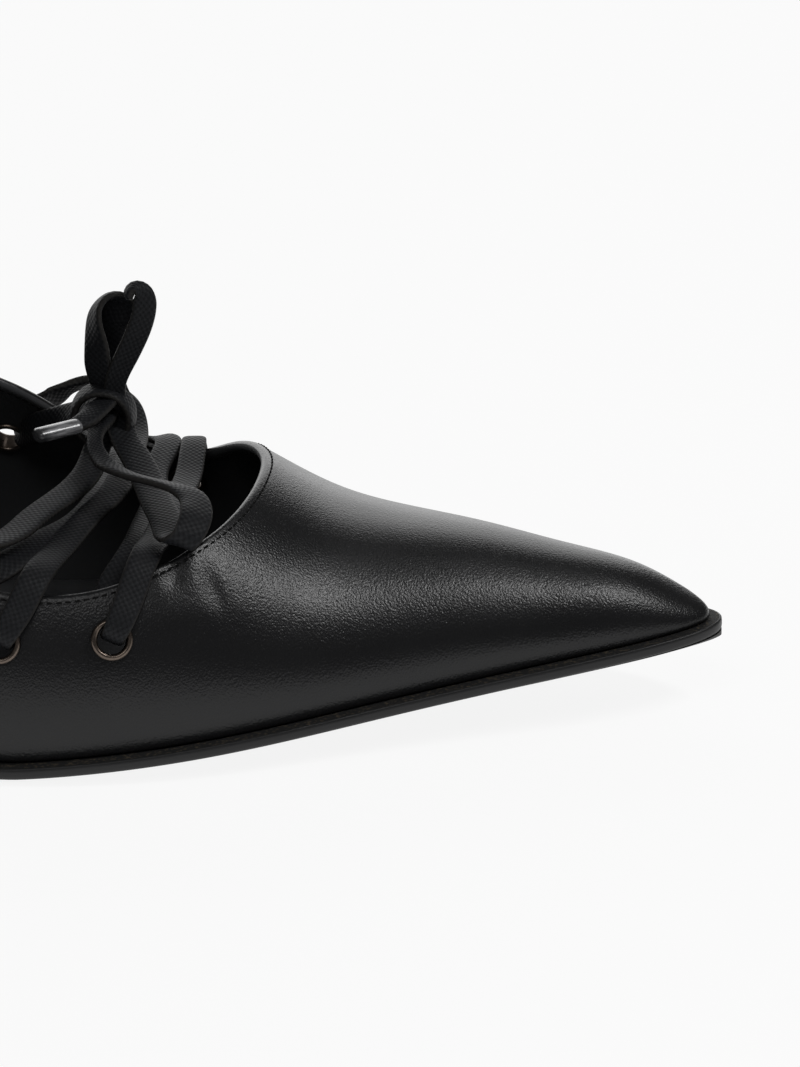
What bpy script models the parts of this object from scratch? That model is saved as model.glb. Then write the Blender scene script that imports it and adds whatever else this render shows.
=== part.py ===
"""A very pointed court shoe for the right foot, laced over the instep, on a slim heel.

+X runs to the toe, +Z up, and -Y is the outer, lateral side. The origin is on the floor, under
the middle of the flat spot that the forefoot stands on.
"""

import bmesh
import bpy
import numpy as np

MM = 0.001

# The driving sizes of the last
SHOE_LENGTH = 264 * MM
TIP_X = 112 * MM
BACK_X = TIP_X - SHOE_LENGTH
BALL_WIDTH = 78 * MM
INSTEP_HEIGHT = 50 * MM
BULGE = 1.5 * MM
ROUND_ACROSS = 2.2
ROUND_UP = 2.05

# The sole's line over the floor, seen from the side
TREAD_BACK_X = -8 * MM
TREAD_FRONT_X = 2 * MM
TOE_SPRING = 11.3 * MM
SPRING_POWER = 1.15
BREAST_X = BACK_X + 46 * MM
BREAST_HEIGHT = 60 * MM
SEAT_SLOPE = 0.22

# Thicknesses and fits
WALL = 1.8 * MM
SOLE_THICKNESS = 3.0 * MM
SOLE_EDGE = 2.0 * MM
LEDGE = 2.4 * MM
INSOLE_THICKNESS = 2.2 * MM
INSOLE_TOE_GAP = 9 * MM
INSOLE_BEVEL = 1.0 * MM
FIT = 0.3 * MM
BED_GAP = 0.5 * MM

# Heel and top piece
HEEL_TIP_X = BACK_X + 15 * MM
HEEL_TIP_LENGTH = 12 * MM
HEEL_TIP_WIDTH = 13 * MM
HEEL_TAPER = 2.3
TOP_PIECE_HEIGHT = 6 * MM

# Eyelets and lace
EYELET_HOLE = 4.7 * MM
EYELET_FLANGE = 6.9 * MM
EYELET_SHEET = 0.2 * MM
EYELET_ROLL = 0.6 * MM
LACE_WIDTH = 5.4 * MM
LACE_THICKNESS = 1.2 * MM

# How finely the curved pieces are divided
COLUMNS = 40
ROWS = 11
ROW_POWER = 1.2
SOLE_STATIONS = 44
ROUND_STEPS = 16

# The last from above: a place along the shoe as a share of its length, how far the edge lies to
# each side as a share of the ball width, and how far the middle line swings to the medial side
FOOTPRINT = (
    # along, lateral, medial, swing
    (0.000, 0.000, 0.000, 0.000),
    (0.030, 0.237, 0.237, 0.000),
    (0.100, 0.346, 0.346, 0.000),
    (0.180, 0.340, 0.346, 0.006),
    (0.360, 0.320, 0.270, 0.026),
    (0.500, 0.487, 0.449, 0.006),
    (0.576, 0.515, 0.492, 0.000),
    (0.700, 0.449, 0.462, 0.000),
    (0.800, 0.308, 0.346, 0.006),
    (0.900, 0.177, 0.200, 0.019),
    (0.960, 0.104, 0.110, 0.029),
    (1.000, 0.000, 0.000, 0.038),
)

# The last from the side: how high its ridge stands over the sole's edge, as a share of the
# instep height; behind the throat this is the cone that the side walls lean on
RIDGE = (
    # along, height
    (0.000, 2.240),
    (0.120, 2.120),
    (0.300, 1.800),
    (0.500, 1.160),
    (0.576, 0.990),
    (0.650, 0.870),
    (0.708, 0.698),
    (0.760, 0.524),
    (0.804, 0.440),
    (0.850, 0.376),
    (0.900, 0.290),
    (0.950, 0.198),
    (0.980, 0.102),
    (1.000, 0.000),
)
RIDGE_OFFSET = 2 * MM
NARROW_TOE = 5 * MM

# The topline: a place as a share of the way from the heel's back to the front of the throat, and
# how far down the wall it runs on each side, as a share of the girth from ridge to sole
THROAT_X = 38.2 * MM
TOPLINE = (
    # along, lateral, medial
    (0.000, 0.670, 0.670),
    (0.063, 0.690, 0.690),
    (0.253, 0.715, 0.700),
    (0.484, 0.665, 0.620),
    (0.642, 0.635, 0.510),
    (0.710, 0.623, 0.425),
    (0.774, 0.628, 0.432),
    (0.826, 0.629, 0.547),
    (0.878, 0.607, 0.610),
    (0.930, 0.524, 0.567),
    (0.957, 0.439, 0.456),
    (0.978, 0.336, 0.320),
    (1.000, 0.000, 0.000),
)

# Columns of the upper lean back towards the throat from here on
LEAN_FROM_X = -5 * MM
LEAN_POWER = 1.3
HEEL_CENTRE = 32 * MM
HEEL_BLEND = 5 * MM

# How much of the ledge the sole shows along the shoe
LEDGE_SHARE = ((0.0, 0.12), (0.18, 0.0), (0.36, 0.0), (0.5, 0.75), (0.576, 1.0), (0.9, 1.0), (1.0, 0.8))

# Eyelets: their place along X and down the girth, lateral and then medial
EYELETS = (
    # name, side, x, girth share
    ("eyelet_lateral_1", -1, 18 * MM, 0.723),
    ("eyelet_lateral_2", -1, 0.0 * MM, 0.743),
    ("eyelet_lateral_3", -1, -19 * MM, 0.748),
    ("eyelet_medial_1", 1, 22 * MM, 0.690),
    ("eyelet_medial_2", 1, 7 * MM, 0.640),
    ("eyelet_medial_3", 1, -8.4 * MM, 0.625),
)

# The lace where it crosses the opening. Each stretch runs from a lateral eyelet to a medial one,
# on the wall's outside (1) or inside (-1). Between them, across is -1 over the lateral edge and 1
# over the medial one, and lift is the height over the straight line from edge to edge. Stretches
# with one name lie on each other and are joined.
CROSSINGS = (
    # name, lateral eyelet and its side of the wall, medial eyelet and its side, rows of x, across, lift
    ("lace_crossings_front", "eyelet_lateral_1", 1, "eyelet_medial_1", 1,
     ((22.0, -1.0, 2.0), (22.9, -0.61, 1.4), (23.7, -0.01, 1.1), (24.3, 0.49, 1.0), (23.2, 1.0, 1.7))),
    ("lace_crossings_front", "eyelet_lateral_1", -1, "eyelet_medial_2", 1,
     ((16.9, -0.87, -4.8), (18.3, -0.63, -1.1), (19.8, -0.15, 0.0), (19.7, 0.23, 0.3),
      (18.6, 0.61, 1.0), (18.2, 1.0, 1.8))),
    ("lace_crossings_back", "eyelet_lateral_2", 1, "eyelet_medial_3", 1,
     ((4.6, -1.0, 1.5), (7.3, -0.61, 1.7), (11.0, -0.26, 3.4), (13.6, -0.06, 4.4), (14.4, 0.22, 4.6),
      (13.7, 0.58, 4.4), (12.4, 0.85, 4.1), (11.3, 0.99, 5.4), (9.7, 1.09, 6.6), (6.9, 1.16, 5.7),
      (3.8, 1.25, 2.3), (1.0, 1.3, -1.7), (-1.6, 1.34, -5.7), (-4.0, 1.36, -8.8))),
    ("lace_crossings_back", "eyelet_lateral_3", -1, "eyelet_medial_2", -1,
     ((-10.0, -0.89, -4.5), (-1.0, -0.74, -0.5), (4.0, -0.46, 0.8), (8.6, -0.2, 1.3), (11.6, 0.2, 2.0),
      (11.0, 0.62, 0.8), (8.5, 0.84, -1.4))),
)

# The free lace of the bow, in mm: where its middle line runs and which way its flat side faces
BOW = (
    # name, rows of x, y, z, facing x, y, z
    ("lace_run_lateral", (
        (-15.8, -36.8, 33.0, 0, -0.9, 0.4), (-13.0, -35.4, 36.0, 0, -0.5, 0.8),
        (-8.0, -30.0, 36.5, 0, -0.1, 1), (-1.5, -24.0, 35.6, 0, 0, 1), (2.7, -14.1, 36.0, 0, -0.1, 1),
        (7.1, -4.1, 36.6, 0, -0.2, 1), (9.2, 3.2, 37.5, 0, -0.4, 1))),
    ("lace_run_medial", (
        (-5.0, 27.0, 34.4, -0.5, -0.8, 0.3), (-4.2, 26.3, 35.2, -0.5, -0.8, 0.3),
        (-2.1, 25.0, 36.8, -0.4, -0.8, 0.4), (1.2, 22.5, 38.9, -0.4, -0.7, 0.5),
        (5.1, 19.0, 41.0, -0.5, -0.5, 0.7))),
    ("lace_loop_up", (
        (10.6, 14.0, 48.3, -0.5, -0.85, 0), (9.9, 13.5, 52.2, -0.5, -0.8, 0),
        (9.6, 13.6, 55.7, -0.6, -0.8, 0.1), (9.2, 14.5, 59.5, -0.85, -0.5, 0.1),
        (10.1, 15.3, 62.4, -0.65, 0, 0.75), (12.2, 16.0, 63.7, -0.05, 0.38, 0.92),
        (13.4, 17.0, 62.2, 0.4, 0.8, 0.45), (11.7, 18.1, 58.6, 0.1, 0.99, 0.05),
        (11.8, 18.4, 54.0, 0.2, 0.97, 0), (11.4, 17.9, 49.0, 0.2, 0.95, 0))),
    ("lace_end_up", (
        (13.1, 10.8, 49.6, 0.3, -0.9, 0.1), (15.0, 11.2, 54.5, 0.3, -0.9, 0.1),
        (16.6, 11.6, 58.2, 0.3, -0.9, 0.1), (17.6, 12.0, 61.3, 0.3, -0.9, 0.2),
        (17.9, 12.9, 63.7, 0.2, -0.75, 0.5), (17.4, 13.2, 65.5, -0.1, -0.4, 0.9),
        (16.2, 13.2, 66.1, -0.5, -0.2, 0.8), (15.4, 12.8, 65.1, -0.9, -0.3, 0.2),
        (15.9, 12.6, 64.2, -0.4, -0.3, -0.8))),
    ("lace_loop_front", (
        (16.0, 6.7, 39.8, -0.2, 0.4, -0.9), (18.9, 0.4, 38.2, -0.1, 0.35, -0.93),
        (22.4, -10.1, 37.0, 0, 0.2, -1), (25.2, -18.6, 36.4, 0, 0.1, -1),
        (26.9, -24.6, 36.4, -0.1, -0.3, -0.95), (28.8, -26.9, 37.5, 0, -0.95, -0.2),
        (30.0, -25.2, 39.2, 0.2, -0.75, 0.6), (30.2, -21.0, 40.6, 0.3, -0.6, 0.75),
        (28.9, -17.0, 41.2, 0.15, -0.15, 0.98), (26.0, -14.2, 41.5, 0, 0.3, 0.95),
        (21.5, -11.9, 41.7, 0, 0.38, 0.92), (18.0, -10.0, 41.8, 0, 0.38, 0.92),
        (14.4, -7.0, 42.0, 0, 0.38, 0.92), (12.5, -3.0, 42.2, -0.1, 0.2, 0.95),
        (11.8, 1.6, 42.6, -0.2, -0.3, 0.9), (11.3, 6.2, 43.1, -0.1, -0.6, 0.75),
        (11.0, 9.6, 43.4, -0.1, -0.7, 0.7))),
    ("lace_end_back", (
        (10.5, 9.9, 46.0, 0.1, 0.3, -0.95), (9.8, 8.0, 46.0, 0.15, 0.4, -0.9),
        (8.5, 4.7, 45.5, 0.1, 0.6, -0.8))),
)
AGLET_ENDS = ((8.1, 3.7, 45.3), (1.0, -1.3, 45.0))
AGLET_WIDTH = 3.4 * MM
AGLET_THICKNESS = 2.4 * MM
AGLET_FORM = ((0.0, 0.75), (0.04, 1.0), (0.96, 1.0), (1.0, 0.75))
KNOT_CENTRE = (10.4, 14.5, 43.2)
KNOT_REACH = (5.0, 4.2, 4.2)
LACE_STEP = 2.6 * MM
LACE_BEVEL = 0.5 * MM
KNOT_RINGS, KNOT_SIDES = 7, 10
AGLET_SIDES = 10
HEEL_RINGS = 11


def column(table, number):
    """One column of a table as an array."""
    return np.array([row[number] for row in table], float)


def smooth(places, values, at):
    """A natural cubic spline through the rows of a table, read at many places."""
    at = np.asarray(at, float)
    count, gaps = len(places), np.diff(places)
    slopes = np.diff(values) / gaps
    matrix, right = np.eye(count), np.zeros(count)
    for i in range(1, count - 1):
        matrix[i, i - 1 : i + 2] = gaps[i - 1], 2 * (gaps[i - 1] + gaps[i]), gaps[i]
        right[i] = 6 * (slopes[i] - slopes[i - 1])
    bend = np.linalg.solve(matrix, right)
    i = np.clip(np.searchsorted(places, at) - 1, 0, count - 2)
    before, after, gap = places[i + 1] - at, at - places[i], gaps[i]
    curved = (bend[i] * before**3 + bend[i + 1] * after**3) / (6 * gap)
    first = (values[i] / gap - bend[i] * gap / 6) * before
    return curved + first + (values[i + 1] / gap - bend[i + 1] * gap / 6) * after


def turn(share):
    """A share of the length as a share of a half turn, which gives round ends."""
    return np.arccos(1 - 2 * np.clip(share, 0, 1)) / np.pi


def along(x):
    return (np.asarray(x, float) - BACK_X) / SHOE_LENGTH


def half_width(x, side):
    """From the middle line to the edge of the footprint, on the lateral (-1) or medial side."""
    places, values = turn(column(FOOTPRINT, 0)), np.array([column(FOOTPRINT, 1), column(FOOTPRINT, 2)])
    at = turn(along(x))
    lateral, medial = smooth(places, values[0], at), smooth(places, values[1], at)
    return BALL_WIDTH * np.maximum(np.where(np.asarray(side) < 0, lateral, medial), 0)


def middle(x):
    return BALL_WIDTH * smooth(column(FOOTPRINT, 0), column(FOOTPRINT, 3), along(x))


def ridge_height(x):
    heights = smooth(turn(column(RIDGE, 0)), column(RIDGE, 1), turn(along(x)))
    return INSTEP_HEIGHT * np.maximum(heights, 0)


def rise(x):
    """How high the underside of the sole runs over the floor: flat spot, toe spring, shank, seat."""
    x = np.asarray(x, float)
    spring = np.clip((x - TREAD_FRONT_X) / (TIP_X - TREAD_FRONT_X), 0, None)
    shank = TREAD_BACK_X - BREAST_X
    q = np.clip((TREAD_BACK_X - x) / shank, 0, 1)
    climb = BREAST_HEIGHT * (3 * q**2 - 2 * q**3) + SEAT_SLOPE * shank * (q**3 - q**2)
    seat = SEAT_SLOPE * np.clip(BREAST_X - x, 0, None)
    return TOE_SPRING * spring**SPRING_POWER + climb + seat


def sole_top(x):
    return rise(x) + SOLE_THICKNESS


def footprint(turns, side, spread=0.0):
    """Points of the footprint's edge, from the heel's back (0) to the tip (1), moved outwards."""
    def edge(at):
        x = BACK_X + SHOE_LENGTH * (1 - np.cos(np.pi * at)) / 2
        return np.stack([x, middle(x) + side * half_width(x, side)], -1)

    turns, step = np.asarray(turns, float), 1e-3
    run = edge(np.clip(turns + step, 0, 1)) - edge(np.clip(turns - step, 0, 1))
    run /= np.linalg.norm(run, axis=-1, keepdims=True)
    outwards = np.stack([-side * run[..., 1], side * run[..., 0]], -1)
    return edge(turns) + outwards * np.asarray(spread)[..., None]


def surface(x, side, girth):
    """The outside of the last. girth is 0 on the ridge and 1 at the sole's edge."""
    x, side, girth = np.broadcast_arrays(np.asarray(x, float), side, girth)
    angle = (1 - np.clip(girth, 0, 1)) * np.pi / 2
    inwards, up = np.cos(angle) ** (2 / ROUND_ACROSS), np.sin(angle) ** (2 / ROUND_UP)
    ahead = BACK_X + HEEL_CENTRE - x
    centre_x = x + HEEL_BLEND * np.logaddexp(0, ahead / HEEL_BLEND)
    half = half_width(x, side)
    swell = BULGE * 2 * half / BALL_WIDTH * 6.75 * up * (1 - up) ** 2
    out_x, out_y = x - centre_x, side * half
    reach = np.maximum(np.hypot(out_x, out_y), 1e-9)
    fuller = inwards + swell / np.maximum(reach, 0.2 * BALL_WIDTH)
    return np.stack(
        [
            centre_x + out_x * fuller,
            middle(x) + RIDGE_OFFSET * np.minimum(1, half / NARROW_TOE) * (1 - inwards) + out_y * fuller,
            sole_top(x) + BED_GAP + ridge_height(x) * up,
        ],
        -1,
    )


def girth_scale(x):
    """A length that goes with the girth, so that the upper's columns run evenly over it."""
    return half_width(x, -1) + 0.75 * ridge_height(x) + 1e-7


def upper_columns(turns, side):
    """Where the upper's columns start at the sole's edge and end on the topline."""
    foot_x = BACK_X + SHOE_LENGTH * (1 - np.cos(np.pi * turns)) / 2
    lean = np.clip((foot_x - LEAN_FROM_X) / (TIP_X - LEAN_FROM_X), 0, 1) ** LEAN_POWER
    top_x = foot_x - (TIP_X - THROAT_X) * lean
    share = (top_x - BACK_X) / (THROAT_X - BACK_X)
    places, at = turn(column(TOPLINE, 0)), turn(share)
    lateral, medial = smooth(places, column(TOPLINE, 1), at), smooth(places, column(TOPLINE, 2), at)
    bare = np.where(side < 0, lateral, medial)
    return foot_x, top_x, np.clip(bare, 0, 1)


def upper_outside(columns=COLUMNS, rows=ROWS):
    """The upper's outside as a grid: rows from the sole up, columns round the shoe."""
    steps = np.linspace(0, 1, columns + 1)
    turns = np.concatenate([steps, steps[-2:0:-1]])
    side = np.concatenate([-np.ones(columns + 1), np.ones(columns - 1)])
    foot_x, top_x, bare = upper_columns(turns, side)
    up = np.linspace(0, 1, rows + 1)[:, None] ** ROW_POWER
    x = foot_x + (top_x - foot_x) * up
    reach = girth_scale(foot_x) * (1 - up) + girth_scale(top_x) * bare * up
    return surface(x, side, np.clip(reach / girth_scale(x), 0, 1))


def grid_normals(grid):
    """Outward normals of a grid that closes round its columns."""
    across = np.roll(grid, -1, 1) - np.roll(grid, 1, 1)
    upwards = np.gradient(grid, axis=0)
    normals = np.cross(across, upwards)
    normals /= np.linalg.norm(normals, axis=-1, keepdims=True)
    return normals


def material(name, colour, roughness, metallic=0.0):
    made = bpy.data.materials.new(name)
    made.use_nodes = True
    shader = made.node_tree.nodes["Principled BSDF"]
    shader.inputs["Base Color"].default_value = (*colour, 1)
    shader.inputs["Roughness"].default_value = roughness
    shader.inputs["Metallic"].default_value = metallic
    return made


def add_object(name, points, faces, finish):
    """A named object with welded points, outward faces and one finish."""
    work = bmesh.new()
    corners = [work.verts.new(point) for point in points]
    for face in faces:
        work.faces.new([corners[i] for i in face])
    bmesh.ops.remove_doubles(work, verts=work.verts, dist=0.002 * MM)
    bmesh.ops.dissolve_degenerate(work, edges=work.edges, dist=0.001 * MM)
    bmesh.ops.recalc_face_normals(work, faces=work.faces)
    if work.calc_volume(signed=True) < 0:
        bmesh.ops.reverse_faces(work, faces=work.faces)
    mesh = bpy.data.meshes.new(name)
    work.to_mesh(mesh)
    work.free()
    mesh.shade_smooth()
    mesh.set_sharp_from_angle(angle=0.7)
    mesh.materials.append(finish)
    made = bpy.data.objects.new(name, mesh)
    bpy.context.scene.collection.objects.link(made)
    return made


def tube_faces(rings, count, closed=False):
    """Quads between rings of points; the last ring joins the first where closed."""
    faces = []
    for ring in range(rings if closed else rings - 1):
        after = (ring + 1) % rings
        for i in range(count):
            j = (i + 1) % count
            faces.append((ring * count + i, ring * count + j, after * count + j, after * count + i))
    return faces


def add_loft(name, rings, finish):
    """A solid through rings of points, closed with a flat face at both ends."""
    rings = np.asarray(rings, float)
    total, count = rings.shape[:2]
    faces = tube_faces(total, count)
    faces.append(tuple(range(count)))
    faces.append(tuple((total - 1) * count + i for i in range(count)))
    return add_object(name, rings.reshape(-1, 3), faces, finish)


def add_slab(name, lateral, medial, top, bottom, finish, shares):
    """A sheet between two edge lines, with its height over and under worked out by functions."""
    across = (np.asarray(shares) + 1) / 2
    plan = lateral[:, None] * (1 - across[:, None]) + medial[:, None] * across[:, None]
    shares = np.broadcast_to(np.asarray(shares), plan.shape[:2])
    over = np.dstack([plan, top(plan[..., 0], shares)])
    under = np.dstack([plan, bottom(plan[..., 0], shares)])
    rings = np.concatenate([over, under[:, ::-1]], 1)
    total, count = rings.shape[:2]
    faces = tube_faces(total, count)
    for ring in (0, total - 1):
        for i in range(len(across) - 1):
            faces.append(tuple(ring * count + k for k in (i, i + 1, count - 2 - i, count - 1 - i)))
    return add_object(name, rings.reshape(-1, 3), faces, finish)


def make_upper(finish):
    """The lasted shell: outside and inside a wall apart, open on top and underneath."""
    outside = upper_outside()
    normals = grid_normals(outside)
    normals[0, :, 2] = 0
    normals[0] /= np.linalg.norm(normals[0], axis=-1, keepdims=True)
    inside = outside - WALL * normals
    rows, around = outside.shape[:2]
    rings = np.concatenate([outside, inside[::-1]])
    faces = tube_faces(2 * rows, around, closed=True)
    return add_object("upper", rings.reshape(-1, 3), faces, finish)


def make_outsole(finish):
    """The thin sole from the heel's breast to the toe, its edge pared thinner from below."""
    start = turn(along(BREAST_X))
    turns = start + (1 - start) * np.linspace(0, 1, SOLE_STATIONS)
    turns = np.sort(np.append(turns, turn(along([TREAD_BACK_X, TREAD_FRONT_X]))))
    share = (1 - np.cos(np.pi * turns)) / 2
    spread = LEDGE * np.interp(share, column(LEDGE_SHARE, 0), column(LEDGE_SHARE, 1))
    lateral, medial = footprint(turns, -1, spread), footprint(turns, 1, spread)

    def under(x, across):
        pared = np.clip((np.abs(across) - 0.55) / 0.45, 0, 1) ** 1.6
        return rise(x) + (SOLE_THICKNESS - SOLE_EDGE) * pared

    shares = (-1, -0.96, -0.85, -0.7, -0.55, 0, 0.55, 0.7, 0.85, 0.96, 1)
    return add_slab("outsole", lateral, medial, lambda x, across: sole_top(x), under, finish, shares)


def make_insole(finish):
    """The insole with its sock: it lies on the sole and the heel, inside the wall."""
    tip = turn(along(TIP_X - INSOLE_TOE_GAP))
    turns = np.linspace(0.0, tip, SOLE_STATIONS)
    inset = -(WALL + FIT + INSOLE_BEVEL)
    lateral, medial = footprint(turns, -1, inset), footprint(turns, 1, inset)
    shares = (-1, -0.5, 0, 0.5, 1)
    return add_slab(
        "insole",
        lateral,
        medial,
        lambda x, across: sole_top(x) + BED_GAP + INSOLE_THICKNESS,
        lambda x, across: sole_top(x) + BED_GAP,
        finish,
        shares,
    )


def heel_tip_ring(angles, grow):
    """The outline of the heel's tip: rounded, a little wider than long."""
    power = 2 / 2.8
    cos, sin = np.cos(angles), np.sin(angles)
    x = HEEL_TIP_X + (HEEL_TIP_LENGTH / 2 + grow) * np.sign(cos) * np.abs(cos) ** power
    y = (HEEL_TIP_WIDTH / 2 + grow) * np.sign(sin) * np.abs(sin) ** power
    return np.stack([x, y], -1)


def heel_seat_ring():
    """The outline of the heel where it meets the seat, with a straight breast."""
    front = turn(along(BREAST_X - FIT))
    turns = np.linspace(front, 0, 11)
    spread = np.full(len(turns), LEDGE * LEDGE_SHARE[0][1])
    lateral, medial = footprint(turns, -1, spread), footprint(turns, 1, spread)
    lateral[0, 0] = medial[0, 0] = BREAST_X - FIT
    breast = medial[0] + (lateral[0] - medial[0]) * np.array([[0.25], [0.5], [0.75]])
    return np.concatenate([lateral, medial[-2::-1], breast])


def make_heel(finish):
    """A slim covered heel that tapers quickly under the seat."""
    seat = heel_seat_ring()
    centre = np.array([(BREAST_X + BACK_X) / 2, 0])
    tip = heel_tip_ring(np.arctan2(seat[:, 1] - centre[1], seat[:, 0] - centre[0]), 0)
    rings = []
    for down in np.linspace(0, 1, HEEL_RINGS):
        wide = (1 - down) ** HEEL_TAPER
        plan = tip + (seat - tip) * wide
        height = sole_top(seat[:, 0]) * (1 - down) + TOP_PIECE_HEIGHT * down
        rings.append(np.column_stack([plan, height]))
    return add_loft("heel", rings, finish)


def make_top_piece(finish):
    angles = np.linspace(0, 2 * np.pi, ROUND_STEPS + 4, endpoint=False)
    rings = []
    for height, grow in ((0, -0.4 * MM), (0.4 * MM, 0), (TOP_PIECE_HEIGHT - FIT, 0)):
        plan = heel_tip_ring(angles, grow)
        rings.append(np.column_stack([plan, np.full(len(plan), height)]))
    return add_loft("top_piece", rings, finish)


def wall_frame(x, side, girth):
    """A point on the wall's outside, the outward normal, and the directions along and up the wall."""
    step = 0.5 * MM
    centre = surface(x, side, girth)
    forwards = surface(x + step, side, girth) - surface(x - step, side, girth)
    upwards = surface(x, side, girth - 0.01) - surface(x, side, girth + 0.01)
    out = np.cross(forwards, upwards) * -side
    out /= np.linalg.norm(out)
    upwards -= out * (upwards @ out)
    upwards /= np.linalg.norm(upwards)
    return centre, out, np.cross(upwards, out), upwards


def make_eyelet(name, side, x, girth, finish):
    """A turned metal ring: a flange outside, a barrel through the wall and a roll inside."""
    hole, barrel = EYELET_HOLE / 2, EYELET_HOLE / 2 + EYELET_SHEET
    flange, back = EYELET_FLANGE / 2, -WALL - FIT - 0.15 * MM
    profile = np.array(
        [
            (hole, 0.35 * EYELET_ROLL),
            (hole + 0.25 * EYELET_ROLL, FIT + EYELET_ROLL),
            (flange - 0.6 * EYELET_ROLL, FIT + EYELET_ROLL),
            (flange, FIT + 0.4 * EYELET_ROLL),
            (flange - 0.1 * MM, FIT),
            (barrel, FIT),
            (barrel, back),
            (flange - 0.45 * MM, back),
            (flange - 0.6 * MM, back - 0.7 * EYELET_ROLL),
            (hole, back - 0.5 * EYELET_ROLL),
        ]
    )
    centre, out, sideways, upwards = wall_frame(x, side, girth)
    rings = []
    for angle in np.linspace(0, 2 * np.pi, ROUND_STEPS, endpoint=False):
        away = np.cos(angle) * sideways + np.sin(angle) * upwards
        rings.append(centre + profile[:, :1] * away + profile[:, 1:] * out)
    rings = np.array(rings)
    faces = tube_faces(len(rings), len(profile), closed=True)
    return add_object(name, rings.reshape(-1, 3), faces, finish)


def cut_eyelet_hole(upper, name, side, x, girth, finish):
    """A round hole through the wall, a fit wider than the eyelet's barrel."""
    centre, out, sideways, upwards = wall_frame(x, side, girth)
    radius = EYELET_HOLE / 2 + EYELET_SHEET + FIT
    angles = np.linspace(0, 2 * np.pi, ROUND_STEPS, endpoint=False)[:, None]
    ring = centre + radius * (np.cos(angles) * sideways + np.sin(angles) * upwards)
    cutter = add_loft("cutter_" + name, [ring - 3 * WALL * out, ring + 3 * WALL * out], finish)
    cutter.hide_render = True
    cutter.display_type = "WIRE"
    cut = upper.modifiers.new("hole_" + name, "BOOLEAN")
    cut.operation = "DIFFERENCE"
    cut.solver = "EXACT"
    cut.object = cutter


def topline_share(x, side):
    """How far down the girth the topline runs, at a place along the shoe."""
    share = (x - BACK_X) / (THROAT_X - BACK_X)
    return smooth(turn(column(TOPLINE, 0)), column(TOPLINE, 1 if side < 0 else 2), turn(share))


def over_opening(x, across, lift):
    """A place on the lace between the two toplines, or just past them, and the way it faces."""
    edges = [wall_frame(x, side, topline_share(x, side)) for side in (-1, 1)]
    middle_share = (across + 1) / 2
    point = edges[0][0] * (1 - middle_share) + edges[1][0] * middle_share
    leaning = np.clip((-across - 0.4) / 0.6 if across < 0 else (across - 0.85) / 0.3, 0, 1)
    facing = edges[int(across > 0)][1] * leaning + np.array([0, 0, 1 - leaning])
    return point + np.array([0, 0, lift]), facing


def on_wall(eyelet, over_x):
    """The lace on the wall from beside an eyelet to just short of the topline."""
    side, x, girth = eyelet
    edge = topline_share(over_x, side)

    def place(share):
        return x + (over_x - x) * share, side, girth + (edge - girth) * share

    away = np.linalg.norm(surface(*place(1)) - surface(*place(0)))
    start = (EYELET_FLANGE / 2 + LACE_THICKNESS) / away
    rows = []
    for share in (start, (1 + start) / 2):
        centre, out = wall_frame(*place(share))[:2]
        rows.append((centre + out * (FIT + LACE_THICKNESS), out))
    return rows


def beside_eyelet(eyelet, outside):
    """The lace's end just clear of an eyelet that it comes out of, and the way it leaves."""
    centre, out = wall_frame(eyelet[1], eyelet[0], eyelet[2])[:2]
    clear = FIT + EYELET_ROLL + LACE_THICKNESS
    return centre + out * (clear if outside > 0 else -WALL - clear), out


def ribbon(name, points, facings, finish):
    """A flat lace along a smooth curve through its points, turned to face the given ways."""
    points, facings = np.array(points), np.array(facings, float)
    places = np.concatenate([[0], np.cumsum(np.linalg.norm(np.diff(points, axis=0), axis=1))])
    at = np.linspace(0, places[-1], int(places[-1] / LACE_STEP) + 2)
    line = np.stack([smooth(places, points[:, k], at) for k in range(3)], -1)
    face = np.stack([np.interp(at, places, facings[:, k]) for k in range(3)], -1)
    run = np.gradient(line, axis=0)
    across = np.cross(run, face)
    across /= np.linalg.norm(across, axis=1, keepdims=True)
    face = np.cross(across, run)
    face /= np.linalg.norm(face, axis=1, keepdims=True)
    half, thick = LACE_WIDTH / 2, LACE_THICKNESS / 2
    section = ((half, 0), (half - LACE_BEVEL, thick), (LACE_BEVEL - half, thick),
               (-half, 0), (LACE_BEVEL - half, -thick), (half - LACE_BEVEL, -thick))
    rings = np.stack([line + w * across + t * face for w, t in section], 1)
    return add_loft(name, rings, finish)


def make_crossings(finish):
    """The lace's stretches over the opening, joined where they lie on each other."""
    eyelets = {name: (side, x, girth) for name, side, x, girth in EYELETS}
    joined = {}
    for number, (node, lateral, lateral_out, medial, medial_out, free) in enumerate(CROSSINGS):
        rows = [over_opening(x * MM, across, lift * MM) for x, across, lift in free]
        for name, outside, place, end in ((lateral, lateral_out, 0, -1), (medial, medial_out, -1, 1)):
            over_x, reach = free[place][0] * MM, abs(free[place][1])
            if outside > 0 and reach == 1:
                more = on_wall(eyelets[name], over_x)
            else:
                more = [beside_eyelet(eyelets[name], outside)]
            rows = more + rows if end < 0 else rows + more[::-1]
        points, facings = zip(*rows)
        if node not in joined:
            joined[node] = ribbon(node, points, facings, finish)
            continue
        stretch = ribbon("stretch_%d" % number, points, facings, finish)
        stretch.hide_render = True
        stretch.display_type = "WIRE"
        join = joined[node].modifiers.new("join_" + stretch.name, "BOOLEAN")
        join.operation = "UNION"
        join.solver = "EXACT"
        join.object = stretch


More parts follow.
